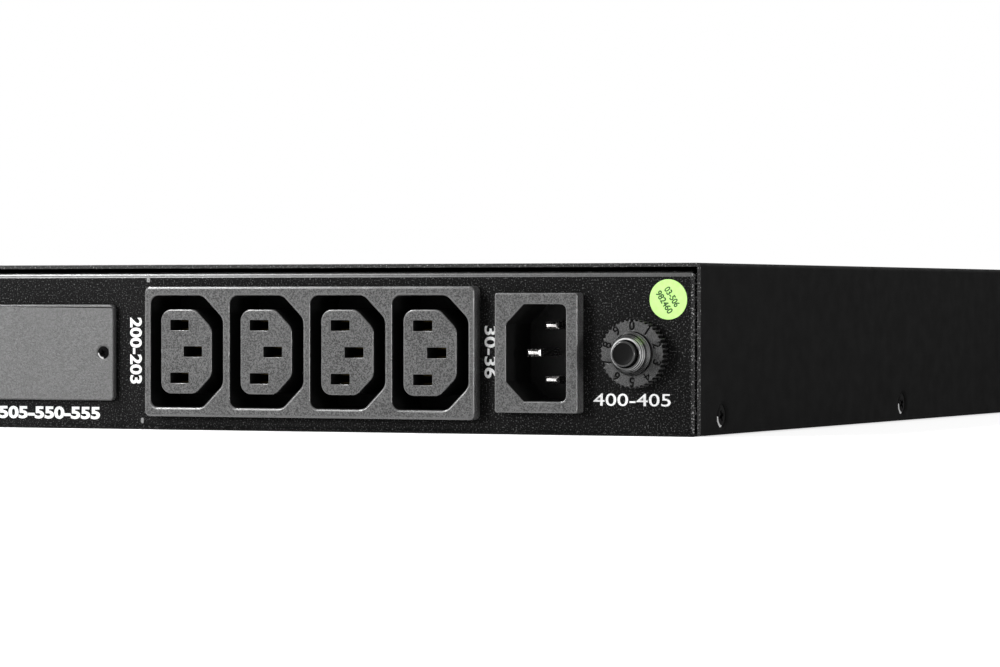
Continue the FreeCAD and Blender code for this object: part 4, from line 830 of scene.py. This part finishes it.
def all_screws():
    first, pitch, height = 15.3, 142.8, 5.0 * mm
    rows = [(panel_y - (first + pitch * i) * mm, height) for i in range(3)]
    screw_set(
        "side_screws", "cover_screws", side_places(rows, 0.35 * mm), [20, 35, 5, 10, 50, 25],
        head_r=3.25 * mm, shank_r=1.5 * mm, length=6.5 * mm, recess=3.0 * mm)
    front_y, half_z = body_low.y, top_z / 2
    pair, single, apart = 16 * mm, 48 * mm, 12 * mm
    ear_rows = [(front_y + pair, half_z - apart), (front_y + pair, half_z + apart), (front_y + single, half_z)]
    screw_set(
        "ear_fixings", "ear_screws", side_places(ear_rows, -2.0 * mm), [15, 40, 65, 30, 5, 50],
        head_r=3.6 * mm, shank_r=1.9 * mm, length=7.0 * mm, recess=3.4 * mm)
    bm = bmesh.new()
    across, down = slot_plate_at
    for side, turn in ((-1, 30), (1, 12)):
        spot = on_panel(across + side * plate_screw_offset, down, plate_screw_proud)
        cross_screw(
            bm, facing(spot, Y_AXIS) @ spun(turn),
            head_r=1.7 * mm, shank_r=0.9 * mm, cone=0.8 * mm, length=3.1 * mm, recess=1.7 * mm)
    fan = middle("fan_frame")
    far = 16 * mm
    for k, (dx, dz) in enumerate([(-far, -far), (-far, far), (far, -far), (far, far)]):
        place = facing(Vector((fan.x + dx, panel_y, fan.z + dz)), Y_AXIS)
        cross_screw(
            bm, place @ spun(17 * k + 8),
            head_r=2.6 * mm, shank_r=1.4 * mm, cone=1.2 * mm, length=9.0 * mm, recess=2.4 * mm)
    piece = finished(bm, "panel_screws", screw_black, more=(painted_glint_steel,))
    stands_for(piece, "enclosure", "black_screw", "rear_panel_screws")


# Sticker and printed numbers

def round_sticker():
    low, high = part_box("inspection_sticker")
    centre = middle("inspection_sticker")
    radius = (high.x - low.x) / 2
    thick = high.y - low.y
    profile = [
        (0.0, axis_radius, 0), (0.0, radius, 0), (thick * 0.6, radius, 0), (thick, radius - 0.06 * mm, 0),
        (thick, axis_radius, 0),
    ]
    bm, rings = lathed(profile, count=96)
    fill(bm, rings[0])
    fill(bm, rings[-1])
    origin = Vector((centre.x, low.y, centre.z))
    piece = finished(bm, "round_sticker", sticker_stock, facing(origin, Y_AXIS))
    stands_for(piece, "enclosure", "sticker_green", "inspection_sticker")
    tilt, line_pitch, text_height = -57, 2.5 * mm, 1.85 * mm
    along = facing(Vector((centre.x, high.y, centre.z)), Y_AXIS) @ spun(tilt)
    for k, text in enumerate(("03-506", "982460")):
        spot = along @ Vector((0, (0.5 - k) * line_pitch, 0))
        width = (5.6 + 0.8 * k) * mm
        printed(
            f"sticker_numbers_{k + 1}", text, spot, width, text_height, tilt, green_ink, 0.03)


def alignment_marks():
    """Two small pale marks on the panel, above and below the strip's far end."""
    # From the side, from the top, width and height in millimetres
    marks = ((158.3, 3.9, 1.0, 1.5), (160.2, 41.6, 0.8, 1.5))
    thickness, corner_radius = 0.02 * mm, 0.35 * mm
    for k, (from_side, from_top, width, height) in enumerate(marks):
        bm = bmesh.new()
        shape = oblong(width * mm, height * mm, corner_radius)
        base = ring(bm, outline(shape), 0.0)
        top = ring(bm, outline(shape, -thickness), thickness)
        bridge(bm, [base, top])
        fill(bm, base)
        fill(bm, top)
        place = facing(on_panel(from_side, from_top), Y_AXIS)
        piece = finished(bm, f"alignment_mark_{k + 1}", faded_ink, place)
        belongs(piece, "enclosure")


def panel_numbers():
    """Plain white numbers beside the connectors: place, width and height in millimetres, turn, weight."""
    numbers = (
        ("breaker_numbers", "400-405", (18.75, 34.75), 21.2, 3.2, 0, 0.005),
        ("outlet_numbers", "200-203", (162.1, 22.9), 17.7, 3.6, -90, 0.03),
        ("inlet_numbers", "30-36", (58.1, 22.8), 13.5, 3.4, -90, 0.02),
        ("slot_numbers", "500-505-550-555", (194.4, 39.75), 42.6, 3.4, 0, 0.04),
    )
    for name, text, place, width, height, turn, weight in numbers:
        printed(name, text, on_panel(*place), width * mm, height * mm, turn, white_ink, weight)


# Everything that the casing is made of

def on_a_bend(point, normal):
    """Zone 1 on the fold along the top, glossier with a partly painted highlight, 2 on the folds at both
    sides, which carry a painted highlight, 0 elsewhere.
    """
    flat = max(abs(part) for part in normal) > 0.999
    on_side = abs(normal.x) > 0.1
    if flat or not on_side and point.z < top_z / 2:
        return 0
    return 2 if on_side else 1


def at_rear_edge(point, normal):
    """Zone 1 on the sheet's cut edge at the rear, whose lighter specks are a painted highlight, 0 elsewhere.
    """
    return int(normal.y > 0.9 and point.y > panel_y - 1.0 * mm)


def bend_ends(bm):
    """Short lengths of fold that close most of the relief at the panel's four corners."""
    outer, inner, count = 1.5 * mm, 0.3 * mm, 10
    # Where each length starts and ends, in millimetres from the corner
    top_ends, side_ends = (2.0, 1.0), (2.0, 0.7)
    angles = [math.pi / 2 * k / count for k in range(count + 1)]
    section = [(outer * math.cos(a), outer * math.sin(a)) for a in angles]
    section += [(inner * math.cos(a), inner * math.sin(a)) for a in reversed(angles)]
    y = panel_y - outer
    for side in (-1, 1):
        for up, edge in ((1, tray_high.z), (-1, tray_low.z)):
            z = edge - up * outer
            x = side * (tray_high.x - outer)
            across = [side * (tray_high.x - past * mm) for past in top_ends]
            upwards = [edge - up * past * mm for past in side_ends]
            for loops in (
                    [[bm.verts.new((at, y + a, z + up * b)) for a, b in section] for at in across],
                    [[bm.verts.new((x + side * b, y + a, at)) for a, b in section] for at in upwards]):
                bridge(bm, loops)
                for loop in loops:
                    bm.faces.new(loop)


def casing():
    refined(
        "chassis_tray", "folded_tray", panel_paint, 0.16 * mm, more=(bend_paint, side_bend_highlight_paint),
        zone=on_a_bend, extra=bend_ends)
    refined("top_cover", "folded_cover", cover_paint, 0.16 * mm, more=(lit_edge_paint,), zone=at_rear_edge)
    refined("rack_ear_right", "right_ear", cover_paint, 0.25 * mm)
    refined("rack_ear_left", "left_ear", cover_paint, 0.25 * mm)
    refined("slot_cover", "slot_plate", plate_paint, 0.35 * mm, steps=3)
    refined("front_bezel", "louvred_front", bezel_plastic, 0.3 * mm)
    refined("inlet_pins", "inlet_contacts", pin_nickel, 0.12 * mm, steps=3)
    refined("fan_frame", "fan_housing", moulded_black, 0.2 * mm)
    refined("fan_rotor", "fan_wheel", moulded_black, 0.15 * mm, body="fan_rotor")
    refined("power_key", "power_cap", key_plastic, 0.3 * mm, body="power_key")
    refined("select_key", "select_cap", key_plastic, 0.3 * mm, body="select_key")


CARRIED_OVER = {
    "breaker_case": inlet_plastic, "card_guides": moulded_black, "display_window": window_dark,
    "lcd_module": lcd_steel, "display_board": board_resist, "key_switches": moulded_black,
    "battery_1": battery_plastic, "battery_2": battery_plastic, "battery_3": battery_plastic,
    "battery_4": battery_plastic, "battery_terminals": contact_brass, "battery_straps": zinc_steel,
    "strap_screws": zinc_steel, "transformer_core": core_steel, "transformer_coil": winding,
    "transformer_brackets": zinc_steel, "main_board": board_resist, "board_supports": nylon,
    "heat_sink": sink_aluminium, "power_transistors": moulded_black, "bulk_capacitors": sleeve_plastic,
    "relays": relay_plastic, "line_choke": winding, "outlet_contacts": contact_brass,
}


def paint_carried_over():
    for name, material in CARRIED_OVER.items():
        piece = nodes[name]
        piece.data.materials.clear()
        piece.data.materials.append(material)


# Stage, light and camera

def background_share(tree):
    """Socket that is 1 for rays that should see the plain background."""
    path = tree.nodes.new("ShaderNodeLightPath")
    total = path.outputs["Is Camera Ray"]
    for other in ("Is Glossy Ray", "Is Transmission Ray"):
        larger = tree.nodes.new("ShaderNodeMath")
        larger.operation = "MAXIMUM"
        tree.links.new(total, larger.inputs[0])
        tree.links.new(path.outputs[other], larger.inputs[1])
        total = larger.outputs["Value"]
    return total


def floor():
    """White floor that shows the object's shadow."""
    reach, level = 12.0, -0.05 * mm
    white_low, white_high, mottle_scale, glow_level = 0.84, 0.88, 3.0, 0.7
    bm = bmesh.new()
    ends = ((-reach, -reach), (reach, -reach), (reach, reach), (-reach, reach))
    bm.faces.new([bm.verts.new((x, y, level)) for x, y in ends])
    mesh = as_mesh(bm, "studio_floor")
    material = bpy.data.materials.new("studio_floor")
    material.use_nodes = True
    tree = material.node_tree
    tree.nodes.clear()
    output = tree.nodes.new("ShaderNodeOutputMaterial")
    diffuse = tree.nodes.new("ShaderNodeBsdfDiffuse")
    glow = tree.nodes.new("ShaderNodeEmission")
    both = tree.nodes.new("ShaderNodeAddShader")
    mottle = tree.nodes.new("ShaderNodeTexNoise")
    mottle.inputs["Scale"].default_value = mottle_scale
    tint = tree.nodes.new("ShaderNodeMapRange")
    tint.inputs["To Min"].default_value = white_low
    tint.inputs["To Max"].default_value = white_high
    lift = tree.nodes.new("ShaderNodeMath")
    lift.operation = "MULTIPLY"
    lift.inputs[1].default_value = glow_level
    tree.links.new(mottle.outputs["Fac"], tint.inputs["Value"])
    tree.links.new(tint.outputs["Result"], diffuse.inputs["Color"])
    tree.links.new(background_share(tree), lift.inputs[0])
    tree.links.new(lift.outputs["Value"], glow.inputs["Strength"])
    tree.links.new(diffuse.outputs["BSDF"], both.inputs[0])
    tree.links.new(glow.outputs["Emission"], both.inputs[1])
    tree.links.new(both.outputs["Shader"], output.inputs["Surface"])
    mesh.materials.append(material)
    in_scene("studio_floor", mesh)


def surroundings():
    """White for what the camera and reflections see, a plain grey level for the light on the object."""
    seen_level, ambient_level = 1.0, 0.13
    world = bpy.data.worlds.new("studio")
    bpy.context.scene.world = world
    world.use_nodes = True
    tree = world.node_tree
    tree.nodes.clear()
    output = tree.nodes.new("ShaderNodeOutputWorld")
    seen = tree.nodes.new("ShaderNodeBackground")
    ambient = tree.nodes.new("ShaderNodeBackground")
    seen.inputs["Strength"].default_value = seen_level
    ambient.inputs["Strength"].default_value = ambient_level
    for background in (seen, ambient):
        background.inputs["Color"].default_value = (1, 1, 1, 1)
    choice = tree.nodes.new("ShaderNodeMixShader")
    tree.links.new(background_share(tree), choice.inputs["Fac"])
    tree.links.new(ambient.outputs["Background"], choice.inputs[1])
    tree.links.new(seen.outputs["Background"], choice.inputs[2])
    tree.links.new(choice.outputs["Shader"], output.inputs["Surface"])


def softbox(name, target, direction, distance, width, height, power, up=Z_AXIS):
    """Area lamp that faces its target; its height runs along up as nearly as it can."""
    lamp = bpy.data.lights.new(name, "AREA")
    lamp.shape = "RECTANGLE"
    lamp.size = width
    lamp.size_y = height
    lamp.energy = power
    holder = in_scene(name, lamp)
    holder.matrix_world = facing(target + direction.normalized() * distance, direction, up)
    holder.visible_camera = False


def lights():
    centre = Vector((0, 0, top_z / 2))
    rear = Vector((0, panel_y, top_z / 2))
    corner = Vector((-side_x, panel_y, top_z / 2))
    softbox(
        "key", rear, Vector((0.41, 0.72, 0.22)), distance=0.8, width=0.2, height=0.2, power=4.6)
    softbox(
        "top", rear, Vector((0.48, 0.33, 0.78)), distance=0.9, width=0.08, height=0.32, power=10.0,
        up=Vector((0, 0.9, -0.42)))
    softbox(
        "rim", corner, Vector((-0.93, 0.36, 0.03)), distance=0.6, width=0.08, height=0.2, power=2.4)
    softbox(
        "fill", centre, Vector((-0.4, -1.0, 0.7)), distance=2.0, width=1.4, height=1.0, power=14.0)


def camera():
    data = bpy.data.cameras.new("camera")
    data.sensor_width = sensor_width
    data.lens = camera_lens
    data.clip_end = view_limit
    holder = in_scene("camera", data)
    holder.location = camera_place
    turn = math.radians(camera_turn)
    pitch = math.radians(camera_pitch)
    level = math.cos(pitch)
    ahead = Vector((math.sin(turn) * level, math.cos(turn) * level, -math.sin(pitch)))
    holder.rotation_euler = ahead.to_track_quat("-Z", "Y").to_euler()
    bpy.context.scene.camera = holder


camera()
casing()
outlet_strip()
inlet_housing()
knurled_nut()
breaker_neck()
reset_cap()
all_screws()
round_sticker()
panel_numbers()
alignment_marks()
paint_carried_over()
floor()
surroundings()
lights()
bpy.context.scene.view_settings.view_transform = "Standard"
